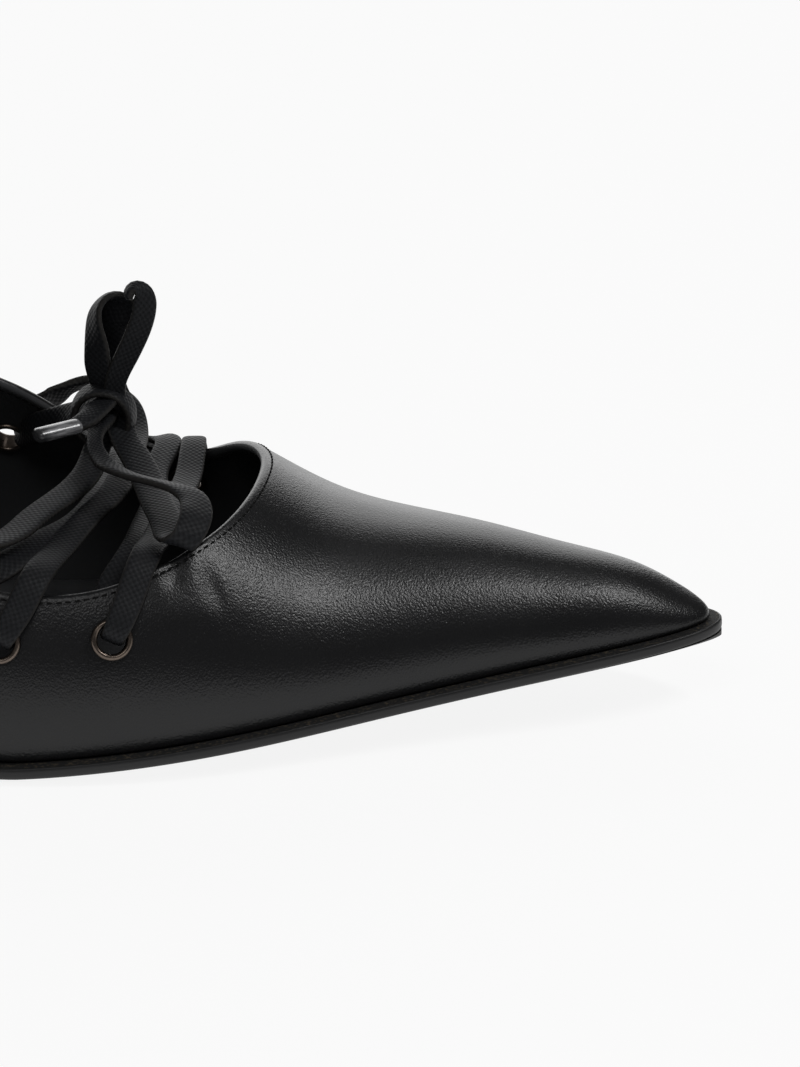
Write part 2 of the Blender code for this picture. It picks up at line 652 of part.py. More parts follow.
def make_knot(finish):
    """The knot's outer shape, a rounded lump."""
    rings = []
    for up in np.linspace(-np.pi / 2, np.pi / 2, KNOT_RINGS):
        turns = np.linspace(0, 2 * np.pi, KNOT_SIDES, endpoint=False)
        ball = np.stack([np.cos(turns) * np.cos(up), np.sin(turns) * np.cos(up), np.sin(up) + 0 * turns], -1)
        rings.append((np.array(KNOT_CENTRE) + ball * KNOT_REACH) * MM)
    faces = tube_faces(KNOT_RINGS, KNOT_SIDES)
    return add_object("lace_knot", np.reshape(rings, (-1, 3)), faces, finish)


def make_aglet(finish):
    """The clear tip on the lace's end: a slightly flattened tube with rounded ends."""
    start, end = np.array(AGLET_ENDS) * MM
    run = (end - start) / np.linalg.norm(end - start)
    across = np.cross(run, [0, 0, 1])
    across /= np.linalg.norm(across)
    up = np.cross(across, run)
    turns = np.linspace(0, 2 * np.pi, AGLET_SIDES, endpoint=False)[:, None]
    plan = np.cos(turns) * across * AGLET_WIDTH / 2 + np.sin(turns) * up * AGLET_THICKNESS / 2
    rings = [start + (end - start) * place + plan * size for place, size in AGLET_FORM]
    return add_loft("aglet", rings, finish)


def main():
    for old in list(bpy.data.objects):
        bpy.data.objects.remove(old)
    leather = material("black_leather", (0.012, 0.012, 0.013), 0.35)
    sole_leather = material("sole_leather", (0.02, 0.018, 0.017), 0.5)
    lining = material("dark_lining", (0.03, 0.028, 0.027), 0.7)
    rubber = material("black_rubber", (0.02, 0.02, 0.02), 0.8)
    gunmetal = material("gunmetal", (0.12, 0.105, 0.09), 0.35, 1.0)
    woven = material("waxed_lace", (0.045, 0.046, 0.05), 0.6)
    clear = material("clear_plastic", (0.5, 0.5, 0.52), 0.2)
    upper = make_upper(leather)
    for name, side, x, girth in EYELETS:
        cut_eyelet_hole(upper, name, side, x, girth, leather)
        make_eyelet(name, side, x, girth, gunmetal)
    make_outsole(sole_leather)
    make_insole(lining)
    make_heel(leather)
    make_top_piece(rubber)
    make_crossings(woven)
    make_knot(woven)
    for name, rows in BOW:
        rows = np.array(rows, float)
        ribbon(name, rows[:, :3] * MM, rows[:, 3:], woven)
    make_aglet(clear)


main()
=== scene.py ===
# %% [markdown]
# # A laced court shoe
# The shoe is a very pointed court shoe for the right foot, laced over the instep and tied in a
# bow. Its solids are already made and packed, and they are loaded here as a fixed frame. Each
# later cell makes one piece of the shoe's looks round them. All sizes are in metres, and the toe
# points to +X.

import bmesh
import bpy
import numpy as np
from mathutils import Matrix


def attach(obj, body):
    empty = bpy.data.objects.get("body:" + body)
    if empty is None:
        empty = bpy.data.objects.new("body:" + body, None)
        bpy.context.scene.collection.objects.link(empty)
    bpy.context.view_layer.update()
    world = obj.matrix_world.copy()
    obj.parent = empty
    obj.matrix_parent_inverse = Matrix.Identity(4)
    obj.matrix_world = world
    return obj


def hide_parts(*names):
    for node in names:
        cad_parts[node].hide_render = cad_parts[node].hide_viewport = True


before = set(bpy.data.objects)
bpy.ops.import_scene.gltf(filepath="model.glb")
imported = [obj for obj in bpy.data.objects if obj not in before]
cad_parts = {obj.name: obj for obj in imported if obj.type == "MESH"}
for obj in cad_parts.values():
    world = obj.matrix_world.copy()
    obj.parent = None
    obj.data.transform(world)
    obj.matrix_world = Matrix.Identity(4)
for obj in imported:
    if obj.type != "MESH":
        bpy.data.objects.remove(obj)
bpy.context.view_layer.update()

MM = 0.001

# %% [markdown]
# ## The camera
# The photograph looks down on the toe half of the shoe from the outer side, with a long lens.
# A fit of the sole's line and of the toe gave the angles and the scale at the tip of the toe, so
# the camera is placed from these few values. The frame cuts the shoe off behind the second
# eyelet, as the photograph does.

# %% The camera
PHOTO_WIDE, PHOTO_HIGH = 800, 1067
AZIMUTH, ELEVATION = np.radians(4), np.radians(22)
DISTANCE = 1.5
TOE_POINT = np.array([0.112, 0.003, 0.013])
TOE_PIXEL = (710, 625)
PIXELS_PER_METRE = 6060
SENSOR = 36


def make_camera():
    """A camera that sees TOE_POINT at TOE_PIXEL: its middle is that point moved over the picture."""
    right = np.array([np.cos(AZIMUTH), np.sin(AZIMUTH), 0])
    level, up = np.cos(ELEVATION), np.sin(ELEVATION)
    toward = np.array([np.sin(AZIMUTH) * level, -np.cos(AZIMUTH) * level, up])
    up = np.cross(toward, right)
    eye = TOE_POINT + toward * DISTANCE
    across = (PHOTO_WIDE / 2 - TOE_PIXEL[0]) / PIXELS_PER_METRE
    rise = (TOE_PIXEL[1] - PHOTO_HIGH / 2) / PIXELS_PER_METRE
    back = eye - (TOE_POINT + right * across + up * rise)
    back /= np.linalg.norm(back)
    right -= back * (right @ back)
    right /= np.linalg.norm(right)
    turned = np.eye(4)
    turned[:3, :3] = np.stack([right, np.cross(back, right), back], 1)
    turned[:3, 3] = eye
    lens = bpy.data.cameras.new("camera")
    lens.sensor_width = SENSOR
    lens.lens = PIXELS_PER_METRE * DISTANCE / PHOTO_HIGH * SENSOR
    lens.clip_start, lens.clip_end = 0.1, 10
    camera = bpy.data.objects.new("camera", lens)
    camera.matrix_world = Matrix(turned.tolist())
    bpy.context.scene.collection.objects.link(camera)
    bpy.context.scene.camera = camera
    return camera


camera = make_camera()
print("lens:", round(camera.data.lens, 1), "mm")

# %% [markdown]
# ## The last
# A shoe is pulled over a last, a wooden foot. The same few sizes and tables that gave the solids
# their shape are written again here: an outline from above, a ridge line from the side, and a
# round section between them. Every fine surface below is read from this one form, so the pieces
# fit each other and the solids.

# %% The sizes of the last
SHOE_LENGTH = 264 * MM
TIP_X = 112 * MM
BACK_X = TIP_X - SHOE_LENGTH
BALL_WIDTH = 78 * MM
INSTEP_HEIGHT = 50 * MM
BULGE = 1.5 * MM
ROUND_ACROSS = 2.2
ROUND_UP = 2.05
TREAD_BACK_X = -8 * MM
TREAD_FRONT_X = 2 * MM
TOE_SPRING = 11.3 * MM
SPRING_POWER = 1.15
BREAST_X = BACK_X + 46 * MM
BREAST_HEIGHT = 60 * MM
SEAT_SLOPE = 0.22
SOLE_THICKNESS = 3.0 * MM
BED_GAP = 0.5 * MM
RIDGE_OFFSET = 2 * MM
NARROW_TOE = 5 * MM
HEEL_CENTRE = 32 * MM
HEEL_BLEND = 5 * MM

FOOTPRINT = np.array([
    # along, lateral, medial, swing
    (0, 0, 0, 0), (0.03, 0.237, 0.237, 0), (0.1, 0.346, 0.346, 0), (0.18, 0.34, 0.346, 0.006),
    (0.36, 0.32, 0.27, 0.026), (0.5, 0.487, 0.449, 0.006), (0.576, 0.515, 0.492, 0),
    (0.7, 0.449, 0.462, 0), (0.8, 0.308, 0.346, 0.006), (0.9, 0.177, 0.2, 0.019),
    (0.96, 0.104, 0.11, 0.029), (1, 0, 0, 0.038),
])

RIDGE = np.array([
    # along, height
    (0, 2.24), (0.12, 2.12), (0.3, 1.8), (0.5, 1.16), (0.576, 0.99), (0.65, 0.87), (0.708, 0.698),
    (0.76, 0.524), (0.804, 0.44), (0.85, 0.376), (0.9, 0.29), (0.95, 0.198), (0.98, 0.102), (1, 0),
])


# %% Curves through tables
def smooth(places, values, at):
    """A natural cubic spline: between two rows it is the cubic whose bends match its neighbours'."""
    at = np.asarray(at, float)
    count, gaps = len(places), np.diff(places)
    slopes = np.diff(values) / gaps
    matrix, right = np.eye(count), np.zeros(count)
    for i in range(1, count - 1):
        matrix[i, i - 1 : i + 2] = gaps[i - 1], 2 * (gaps[i - 1] + gaps[i]), gaps[i]
        right[i] = 6 * (slopes[i] - slopes[i - 1])
    bend = np.linalg.solve(matrix, right)
    i = np.clip(np.searchsorted(places, at) - 1, 0, count - 2)
    before, after, gap = places[i + 1] - at, at - places[i], gaps[i]
    curved = (bend[i] * before**3 + bend[i + 1] * after**3) / (6 * gap)
    first = (values[i] / gap - bend[i] * gap / 6) * before
    return curved + first + (values[i + 1] / gap - bend[i + 1] * gap / 6) * after


def turn(share):
    """A share of the length as a share of a half turn, arccos(1 - 2 share) / pi, for round ends."""
    return np.arccos(1 - 2 * np.clip(share, 0, 1)) / np.pi


def x_at(turns):
    """The place on X at a share of a half turn."""
    return BACK_X + SHOE_LENGTH * (1 - np.cos(np.pi * turns)) / 2


def along(x):
    """A place on X as a share of the shoe's length from the heel."""
    return (np.asarray(x, float) - BACK_X) / SHOE_LENGTH


def half_width(x, side):
    """From the middle line to the footprint's edge, on the lateral (-1) or medial (1) side."""
    places, at = turn(FOOTPRINT[:, 0]), turn(along(x))
    lateral, medial = smooth(places, FOOTPRINT[:, 1], at), smooth(places, FOOTPRINT[:, 2], at)
    return BALL_WIDTH * np.maximum(np.where(np.asarray(side) < 0, lateral, medial), 0)


def middle(x):
    """The footprint's middle line, which swings to the medial side towards the toe."""
    return BALL_WIDTH * smooth(FOOTPRINT[:, 0], FOOTPRINT[:, 3], along(x))


def ridge_height(x):
    """How high the last's ridge stands over the sole's edge."""
    return INSTEP_HEIGHT * np.maximum(smooth(turn(RIDGE[:, 0]), RIDGE[:, 1], turn(along(x))), 0)


def rise(x):
    """The underside of the sole over the floor: flat spot, toe spring, S-shaped shank, seat."""
    x = np.asarray(x, float)
    spring = np.clip((x - TREAD_FRONT_X) / (TIP_X - TREAD_FRONT_X), 0, None)
    shank = TREAD_BACK_X - BREAST_X
    q = np.clip((TREAD_BACK_X - x) / shank, 0, 1)
    climb = BREAST_HEIGHT * (3 * q**2 - 2 * q**3) + SEAT_SLOPE * shank * (q**3 - q**2)
    return TOE_SPRING * spring**SPRING_POWER + climb + SEAT_SLOPE * np.clip(BREAST_X - x, 0, None)


def sole_top(x):
    """The sole's upper face."""
    return rise(x) + SOLE_THICKNESS


print("ball, half widths in mm:", np.round(half_width(0, np.array([-1, 1])) / MM, 1))


# %% The last's outside
def footprint(turns, side, spread):
    """Points of the footprint's edge, from the heel's back (0) to the tip (1), moved outwards."""
    def edge(at):
        x = x_at(at)
        return np.stack([x, middle(x) + side * half_width(x, side)], -1)

    step = 1e-3
    run = edge(np.clip(turns + step, 0, 1)) - edge(np.clip(turns - step, 0, 1))
    run /= np.linalg.norm(run, axis=-1, keepdims=True)
    outwards = np.stack([-side * run[..., 1], side * run[..., 0]], -1)
    return edge(turns) + outwards * spread[:, None]


def surface(x, side, girth):
    """The last at a place on X and a girth, 0 on the ridge and 1 at the sole's edge.

    A section is a superellipse: the way in goes with cos(angle) and the height with sin(angle),
    each to a power, and a low swell is added between them. Behind HEEL_CENTRE the sections turn
    round it like a fan.
    """
    x, side, girth = np.broadcast_arrays(np.asarray(x, float), side, girth)
    angle = (1 - np.clip(girth, 0, 1)) * np.pi / 2
    inwards, up = np.cos(angle) ** (2 / ROUND_ACROSS), np.sin(angle) ** (2 / ROUND_UP)
    centre_x = x + HEEL_BLEND * np.logaddexp(0, (BACK_X + HEEL_CENTRE - x) / HEEL_BLEND)
    half = half_width(x, side)
    swell = BULGE * 2 * half / BALL_WIDTH * 6.75 * up * (1 - up) ** 2
    out_x, out_y = x - centre_x, side * half
    fuller = inwards + swell / np.maximum(np.hypot(out_x, out_y), 0.2 * BALL_WIDTH)
    ridge_y = middle(x) + RIDGE_OFFSET * np.minimum(1, half / NARROW_TOE) * (1 - inwards)
    height = sole_top(x) + BED_GAP + ridge_height(x) * up
    return np.stack([centre_x + out_x * fuller, ridge_y + out_y * fuller, height], -1)


def unit(vectors):
    """The vectors at length 1."""
    return vectors / np.linalg.norm(vectors, axis=-1, keepdims=True)


def wall_frame(x, side, girth):
    """A point on the last with its outward normal and the directions along and up the wall."""
    step = 0.5 * MM
    centre = surface(x, side, girth)
    forwards = surface(x + step, side, girth) - surface(x - step, side, girth)
    upwards = surface(x, side, girth - 0.01) - surface(x, side, girth + 0.01)
    out = unit(np.cross(forwards, upwards) * -side)
    upwards = unit(upwards - out * (upwards @ out))
    return centre, out, np.cross(upwards, out), upwards


# %% [markdown]
# ## Meshes from arrays
# Each piece is a grid of points, so its faces follow from the numbers of rows and columns alone.
# A solid that closes on itself has a signed volume, and its sign tells whether the faces point
# out. Where a ring shrinks to a point, the points are welded.


# %% Grids and pieces
WELD = 0.001 * MM
SHARP_FROM = np.radians(50)


def grid_faces(rows, columns, round_rows=False):
    """Quads between neighbouring rows and columns; the last column joins the first."""
    i = np.arange(rows if round_rows else rows - 1)[:, None]
    j = np.arange(columns)[None]
    after_i, after_j = (i + 1) % rows, (j + 1) % columns
    here, after = i * columns, after_i * columns
    return np.stack((here + j, here + after_j, after + after_j, after + j), -1)


def facing_out(points, faces):
    """The faces, turned over where the sum of their cones with the origin is negative."""
    a, b, c, d = (points[faces[:, k]] for k in range(4))
    cones = (a * np.cross(b, c)).sum() + (a * np.cross(c, d)).sum()
    return faces if cones > 0 else faces[:, ::-1]


def make_piece(name, points, faces, finishes, nodes=(), weave=None, finish_of=None):
    """A smooth welded mesh that rides on the shoe, and stands for the named CAD nodes."""
    points, faces = points.reshape(-1, 3), faces.reshape(-1, 4)
    faces = facing_out(points, faces)
    mesh = bpy.data.meshes.new(name)
    mesh.from_pydata(points.tolist(), [], faces.tolist())
    for finish in finishes:
        mesh.materials.append(finish)
    if finish_of is not None:
        mesh.polygons.foreach_set("material_index", finish_of.astype(np.int32))
    if weave is not None:
        layer = mesh.uv_layers.new(name="Weave")
        layer.data.foreach_set("uv", weave.reshape(-1, 2)[faces.ravel()].astype(np.float32).ravel())
    work = bmesh.new()
    work.from_mesh(mesh)
    bmesh.ops.remove_doubles(work, verts=work.verts, dist=WELD)
    bmesh.ops.dissolve_degenerate(work, edges=work.edges, dist=WELD)
    work.to_mesh(mesh)
    work.free()
    mesh.shade_smooth()
    mesh.set_sharp_from_angle(angle=SHARP_FROM)
    piece = bpy.data.objects.new(name, mesh)
    bpy.context.scene.collection.objects.link(piece)
    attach(piece, "root")
    if nodes:
        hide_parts(*nodes)
    print(name + ":", len(mesh.polygons), "faces")
    return piece


# %% [markdown]
# ## Finishes
# The shoe is all black, so what tells its materials apart is how they take light. Calf has a
# fine grain and a soft sheen, the waxed lace shows its weave as tiny glints and as painted shade
# in its sunk lozenges, the sole's ledge is rough, and the eyelets are dark metal. The lining is
# painted paler than the calf, as painted light inside the shoe. Each finish is a Principled
# shader with its colour, roughness and bump worked out by nodes from the piece's own coordinates.


# %% Helpers for finishes
def new_finish(name, colour, roughness, **sockets):
    """A Principled material; sockets named in words set its other values."""
    finish = bpy.data.materials.new(name)
    finish.use_nodes = True
    shader = finish.node_tree.nodes["Principled BSDF"]
    shader.inputs["Base Color"].default_value = (*colour, 1)
    shader.inputs["Roughness"].default_value = roughness
    for socket, value in sockets.items():
        shader.inputs[socket.replace("_", " ")].default_value = value
    return finish


def add_node(finish, kind, inputs, **settings):
    """A node whose inputs, by name or number, are plain values or other nodes' outputs."""
    made = finish.node_tree.nodes.new("ShaderNode" + kind)
    for setting, value in settings.items():
        setattr(made, setting, value)
    for socket, value in inputs.items():
        if isinstance(value, bpy.types.NodeSocket):
            finish.node_tree.links.new(value, made.inputs[socket])
        else:
            made.inputs[socket].default_value = value
    return made.outputs[0]


def into_shader(finish, **sockets):
    """Links outputs to the Principled shader's sockets."""
    shader = finish.node_tree.nodes["Principled BSDF"]
    for socket, output in sockets.items():
        finish.node_tree.links.new(output, shader.inputs[socket.replace("_", " ")])


def place_in_shoe(finish):
    """Object coordinates."""
    made = finish.node_tree.nodes.new("ShaderNodeTexCoord")
    return made.outputs["Object"]


def noise(finish, place, scale, detail, **inputs):
    """Soft noise over a place."""
    return add_node(finish, "TexNoise", {"Vector": place, "Scale": scale, "Detail": detail, **inputs})


def calculate(finish, operation, first, second=0.0):
    """A calculation on values, such as ADD, MULTIPLY or SINE."""
    return add_node(finish, "Math", {0: first, 1: second}, operation=operation)


def bumps(finish, height, strength, depth):
    """Normals that follow a height."""
    return add_node(finish, "Bump", {"Height": height, "Strength": strength, "Distance": depth})


def blend_colours(finish, share, low, high):
    """The low colour at 0 and the high one at 1."""
    ramp = finish.node_tree.nodes.new("ShaderNodeValToRGB")
    ramp.color_ramp.elements[0].color = (*low, 1)
    ramp.color_ramp.elements[1].color = (*high, 1)
    finish.node_tree.links.new(share, ramp.inputs[0])
    return ramp.outputs[0]


def share_from(finish, value, start, end):
    """A value mapped from start..end to 0..1."""
    return add_node(finish, "MapRange", {"Value": value, "From Min": start, "From Max": end})


def between(finish, share, low, high):
    """A value mapped from 0..1 to low..high."""
    return add_node(finish, "MapRange", {"Value": share, "To Min": low, "To Max": high})


# %% Calf and lining
def make_calf(name, colour, roughness, grain, depth, specular):
    """Fine-grained calf: wrinkles are noise pulled out of shape, pebbles are small cells."""
    calf = new_finish(name, colour, roughness, Specular_IOR_Level=specular)
    place = place_in_shoe(calf)
    upright = add_node(calf, "Mapping", {"Vector": place, "Scale": (1 / grain, 1 / grain, 0.45 / grain)})
    wrinkles = noise(calf, upright, 1.0, 1.0, Roughness=0.4, Distortion=0.6)
    pebbles = add_node(calf, "TexVoronoi", {"Vector": place, "Scale": 1.0 / grain}, feature="SMOOTH_F1")
    bump = bumps(calf, calculate(calf, "ADD", wrinkles, pebbles), 0.6, depth)
    broad = noise(calf, place, 60.0, 2.0)
    into_shader(calf, Normal=bump, Roughness=between(calf, broad, roughness - 0.05, roughness + 0.06))
    return calf


calf = make_calf("black_calf", (0.0070, 0.0071, 0.0078), 0.29, 0.32 * MM, 0.065 * MM, 0.36)
heel_calf = make_calf("heel_cover", (0.0075, 0.0076, 0.0084), 0.31, 0.32 * MM, 0.06 * MM, 0.36)
# The lining is paler than the calf: painted light, standing in for the light that reaches the shoe's
# inside.
lining = make_calf("lining_painted_light", (0.045, 0.046, 0.048), 0.62, 0.7 * MM, 0.04 * MM, 0.25)
thread = new_finish("black_thread", (0.006, 0.006, 0.006), 0.8, Specular_IOR_Level=0.1)


# %% Sole edge, ledge and rubber
def make_ledge():
    """The raw top of the sole's ledge: dark, with brown and olive specks in coarse noise."""
    ledge = new_finish("raw_ledge", (0.02, 0.017, 0.012), 0.75)
    specks = noise(ledge, place_in_shoe(ledge), 1500.0, 2.0)
    sharper = share_from(ledge, specks, 0.52, 0.72)
    colour = blend_colours(ledge, sharper, (0.004, 0.004, 0.004), (0.06, 0.047, 0.03))
    into_shader(ledge, Base_Color=colour, Normal=bumps(ledge, specks, 0.7, 0.15 * MM))
    return ledge


def make_sole_edge(name, colour, roughness):
    """Inked and waxed edge: fine lengthwise marks from the edge iron, in stretched noise."""
    edge = new_finish(name, colour, roughness, Specular_IOR_Level=0.4)
    place = add_node(edge, "Mapping", {"Vector": place_in_shoe(edge), "Scale": (90, 90, 900)})
    marks = noise(edge, place, 1.0, 2.0)
    uneven = between(edge, marks, roughness - 0.08, roughness + 0.1)
    into_shader(edge, Normal=bumps(edge, marks, 0.4, 0.05 * MM), Roughness=uneven)
    return edge


ledge = make_ledge()
sole_edge = make_sole_edge("inked_edge", (0.008, 0.008, 0.0085), 0.42)
sole_bottom = make_sole_edge("sole_bottom", (0.014, 0.0135, 0.013), 0.55)
rubber = make_sole_edge("black_rubber", (0.012, 0.012, 0.012), 0.7)


# %% Lace, metal and plastic
def tape_map(finish):
    """The piece's own map in mm, and its two ways: along the tape and across it."""
    flat = add_node(finish, "UVMap", {}, uv_map="Weave")
    split = finish.node_tree.nodes.new("ShaderNodeSeparateXYZ")
    finish.node_tree.links.new(flat, split.inputs[0])
    return flat, split.outputs[0], split.outputs[1]


def make_weave():
    """A flat braid: lozenges are the product of a sine along the lace and one across it. The sunk
    lozenges are painted darker as shade, and its two edges are a little browner."""
    weave = new_finish("waxed_weave", (0.015, 0.016, 0.018), 0.55, Specular_IOR_Level=0.16)
    _, along_it, across_it = tape_map(weave)
    turned = [calculate(weave, "MULTIPLY", along_it, 2 * np.pi / 1.1),
              calculate(weave, "MULTIPLY", across_it, 2 * np.pi / 1.25)]
    yarns = calculate(weave, "MULTIPLY", *(calculate(weave, "SINE", angle) for angle in turned))
    share = share_from(weave, yarns, -1.0, 1.0)
    uneven = calculate(weave, "ADD", share, noise(weave, place_in_shoe(weave), 3200.0, 3.0))
    # Darker where the weave's height is low: painted shade in the sunk lozenges, with random tone from
    # the noise.
    tone_share = calculate(weave, "MULTIPLY", uneven, 0.5)
    yarn_colour_with_painted_shade = blend_colours(weave, tone_share, (0.0022, 0.0024, 0.003), (0.018, 0.019, 0.0215))
    at_edge = share_from(weave, calculate(weave, "ABSOLUTE", across_it), 2.25, 2.6)
    colour = add_node(weave, "MixRGB", {0: at_edge, 1: yarn_colour_with_painted_shade, 2: (0.019, 0.018, 0.017, 1)})
    into_shader(weave, Base_Color=colour, Normal=bumps(weave, uneven, 0.7, 0.1 * MM),
                Roughness=between(weave, share, 0.65, 0.45))
    return weave


def make_gunmetal():
    """Dark plated metal with a warm tint, with uneven wear."""
    metal = new_finish("gunmetal", (0.16, 0.135, 0.12), 0.3, Metallic=1.0)
    tone_share = noise(metal, place_in_shoe(metal), 900.0, 3.0)
    colour = blend_colours(metal, tone_share, (0.08, 0.066, 0.058), (0.20, 0.16, 0.13))
    into_shader(metal, Base_Color=colour, Roughness=between(metal, tone_share, 0.22, 0.4))
    return metal


def make_aglet_plastic():
    """Cloudy clear plastic, shrunk on the lace: grey streaks along it, and a dark clear tip."""
    plastic = new_finish("cloudy_plastic", (0.1, 0.1, 0.1), 0.25, IOR=1.46, Coat_Weight=0.5,
                         Coat_Roughness=0.1)
    flat, along_it, _ = tape_map(plastic)
    long_way = add_node(plastic, "Mapping", {"Vector": flat, "Scale": (0.35, 2.2, 1)})
    sharper = share_from(plastic, noise(plastic, long_way, 1.0, 3.0), 0.35, 0.65)
    body = blend_colours(plastic, sharper, (0.05, 0.05, 0.053), (0.26, 0.26, 0.27))
    tip = share_from(plastic, along_it, 6.3, 7.3)
    colour = add_node(plastic, "MixRGB", {0: tip, 1: body, 2: (0.03, 0.03, 0.032, 1)})
    into_shader(plastic, Base_Color=colour)
    return plastic


waxed_weave = make_weave()
gunmetal = make_gunmetal()
aglet_plastic = make_aglet_plastic()
print("finishes:", len(bpy.data.materials))

# %% [markdown]
# ## The lace
# The lace is a flat waxed braid, 5.4 mm wide. Real lacing is one long tape: it runs through the
# eyelets, over the opening, and into the bow. A ribbon is made by carrying one flat section with
# round edges along a smooth curve, and turning it by a facing that is given at each point. Its
# map runs along and across the tape, so that the weave bends with it.

# %% Lace sizes
WALL = 1.8 * MM
FIT = 0.3 * MM
EYELET_HOLE = 4.7 * MM
EYELET_FLANGE = 6.9 * MM
EYELET_ROLL = 0.6 * MM
LACE_WIDTH = 5.4 * MM
LACE_THICKNESS = 1.2 * MM
LACE_IN_HOLE = 4.0 * MM
LACE_RING = 30
LACE_STEP = 0.45 * MM
FACING_BLEND = 9

EYELETS = {
    # name: x, side, girth share
    "eyelet_lateral_1": (18 * MM, -1, 0.723),
    "eyelet_lateral_2": (0.0 * MM, -1, 0.743),
    "eyelet_lateral_3": (-19 * MM, -1, 0.748),
    "eyelet_medial_1": (22 * MM, 1, 0.690),
    "eyelet_medial_2": (7 * MM, 1, 0.640),
    "eyelet_medial_3": (-8.4 * MM, 1, 0.625),
}

THROAT_X = 38.2 * MM
TOPLINE = np.array([
    # along the opening, lateral, medial
    (0, 0.67, 0.67), (0.063, 0.69, 0.69), (0.253, 0.715, 0.7), (0.484, 0.665, 0.62),
    (0.642, 0.635, 0.51), (0.71, 0.623, 0.425), (0.774, 0.628, 0.432), (0.826, 0.629, 0.547),
    (0.878, 0.607, 0.61), (0.93, 0.524, 0.567), (0.957, 0.439, 0.456), (0.978, 0.336, 0.32),
    (1, 0, 0),
])


# %% A ribbon
def topline_share(x, side):
    """How far down the girth the topline runs, at a place along the shoe."""
    share = (x - BACK_X) / (THROAT_X - BACK_X)
    return smooth(turn(TOPLINE[:, 0]), TOPLINE[:, 1 if side < 0 else 2], turn(share))


def full_turn(count):
    """Angles of a full turn in even steps."""
    return np.linspace(0, 2 * np.pi, count, endpoint=False)


def superellipse(angles, wide_power, high_power):
    """The cosine and the sine, each raised to a power while it keeps its sign."""
    cos, sin = np.cos(angles), np.sin(angles)
    return np.sign(cos) * np.abs(cos) ** wide_power, np.sign(sin) * np.abs(sin) ** high_power


def line_lengths(line):
    """How far along a line each of its points is."""
    return np.concatenate([[0], np.cumsum(np.linalg.norm(np.diff(line, axis=0), axis=1))])


def at_lengths(at, lengths, values):
    """Columns of values read at places along their line."""
    return np.stack([np.interp(at, lengths, column) for column in values.T], -1)


def ribbon(rows):
    """Points, faces and map of a lace through rows of a place, a facing and a width.

    The middle line is a spline by chord length. Across is the line's run crossed with its facing.
    The section is a superellipse, nearly flat with round edges, and it shrinks to a point in the
    last rings at both ends.
    """
    rows = np.array(rows, float)
    places = line_lengths(rows[:, :3])
    at = np.linspace(0, places[-1], int(places[-1] / LACE_STEP) + 2)
    line = np.stack([smooth(places, rows[:, k], at) for k in range(3)], -1)
    soft = np.hanning(FACING_BLEND) / np.hanning(FACING_BLEND).sum()
    margin = FACING_BLEND // 2
    padded = np.pad(at_lengths(at, places, rows[:, 3:6]), ((margin, margin), (0, 0)), mode="edge")
    facing = np.stack([np.convolve(column, soft, mode="valid") for column in padded.T], -1)
    width = np.interp(at, places, rows[:, 6])
    run = unit(np.gradient(line, axis=0))
    across = unit(np.cross(run, facing))
    up = np.cross(across, run)
    flat, thick = superellipse(full_turn(LACE_RING), 0.5, 0.8)
    end = np.minimum(at, at[-1] - at) / LACE_THICKNESS
    closing = np.sqrt(np.clip(1 - (1 - np.clip(end, 0, 1)) ** 2, 0, 1))[:, None]
    side_way = width[:, None] / 2 * flat * (0.6 + 0.4 * closing) * (closing > 0)
    thick_way = LACE_THICKNESS / 2 * (LACE_WIDTH / width[:, None]) ** 0.5 * thick * closing
    points = line[:, None] + side_way[..., None] * across[:, None] + thick_way[..., None] * up[:, None]
    length = line_lengths(line)
    weave = np.stack(np.broadcast_arrays(length[:, None], flat * LACE_WIDTH / 2), -1) / MM
    return points, grid_faces(len(at), LACE_RING), weave, line, length[-1]


def make_lace(name, rows, nodes):
    """A ribbon as a piece, with its middle line and its length."""
    points, faces, weave, line, length = ribbon(rows)
    return make_piece(name, points, faces, [waxed_weave], nodes, weave), line, length


def row(place, facing, width):
    """One row of a lace: its place, its facing and its width."""
    return (*place, *facing, width)


# %% Through an eyelet
HOLE_ROUTE = (
    # towards the topline and out in mm, facing out and to the topline, width in mm
    (3.0, 1.6, 1, 0, 4.5), (0.9, 1.0, 1, -1, 4.0), (0.2, -0.9, 0, -1, 4.0), (0.9, -2.9, -1, -1, 4.0),
    (3.4, -3.7, -1, 0, 5.0),
)
UP_THE_WALL = 0.62


def hole_rows(name, over_x, sign):
    """The lace from its stretch outside an eyelet, through the hole, to the wall's inside."""
    x, side, girth = EYELETS[name]
    centre, out, _, _ = wall_frame(x, side, girth)
    leaving = surface(over_x, side, topline_share(over_x, side)) - centre
    leaving = unit(leaving - out * (leaving @ out))
    return [row(centre + (leaving * towards + out * away) * MM,
                (out * outwards + leaving * upwards) * sign, width * MM)
            for towards, away, outwards, upwards, width in HOLE_ROUTE]


def over_opening(x, across, lift, sign, width):
    """A place over the line between the two toplines: across is -1 over the lateral edge and 1
    over the medial one. The lace faces up there, and leans to the wall's own facing as it nears
    the lateral edge or passes the medial one."""
    edges = [wall_frame(x, side, topline_share(x, side)) for side in (-1, 1)]
    share = (across + 1) / 2
    leaning = np.clip((-across - 0.4) / 0.6 if across < 0 else (across - 1.0) / 0.3, 0, 1)
    facing = edges[int(across > 0)][1] * leaning + np.array([0, 0, 1 - leaning])
    place = edges[0][0] * (1 - share) + edges[1][0] * share + np.array([0, 0, lift])
    return row(place, facing * sign, width)


def wall_row(name, over_x, sign):
    """The lace flat on the wall's outside, a part of the way from an eyelet up to the topline."""
    x, side, girth = EYELETS[name]
    girth += (topline_share(over_x, side) - girth) * UP_THE_WALL
    centre, out, _, _ = wall_frame(x + (over_x - x) * UP_THE_WALL, side, girth)
    return row(centre + out * (FIT + LACE_THICKNESS * 0.7), out * sign, 4.8 * MM)


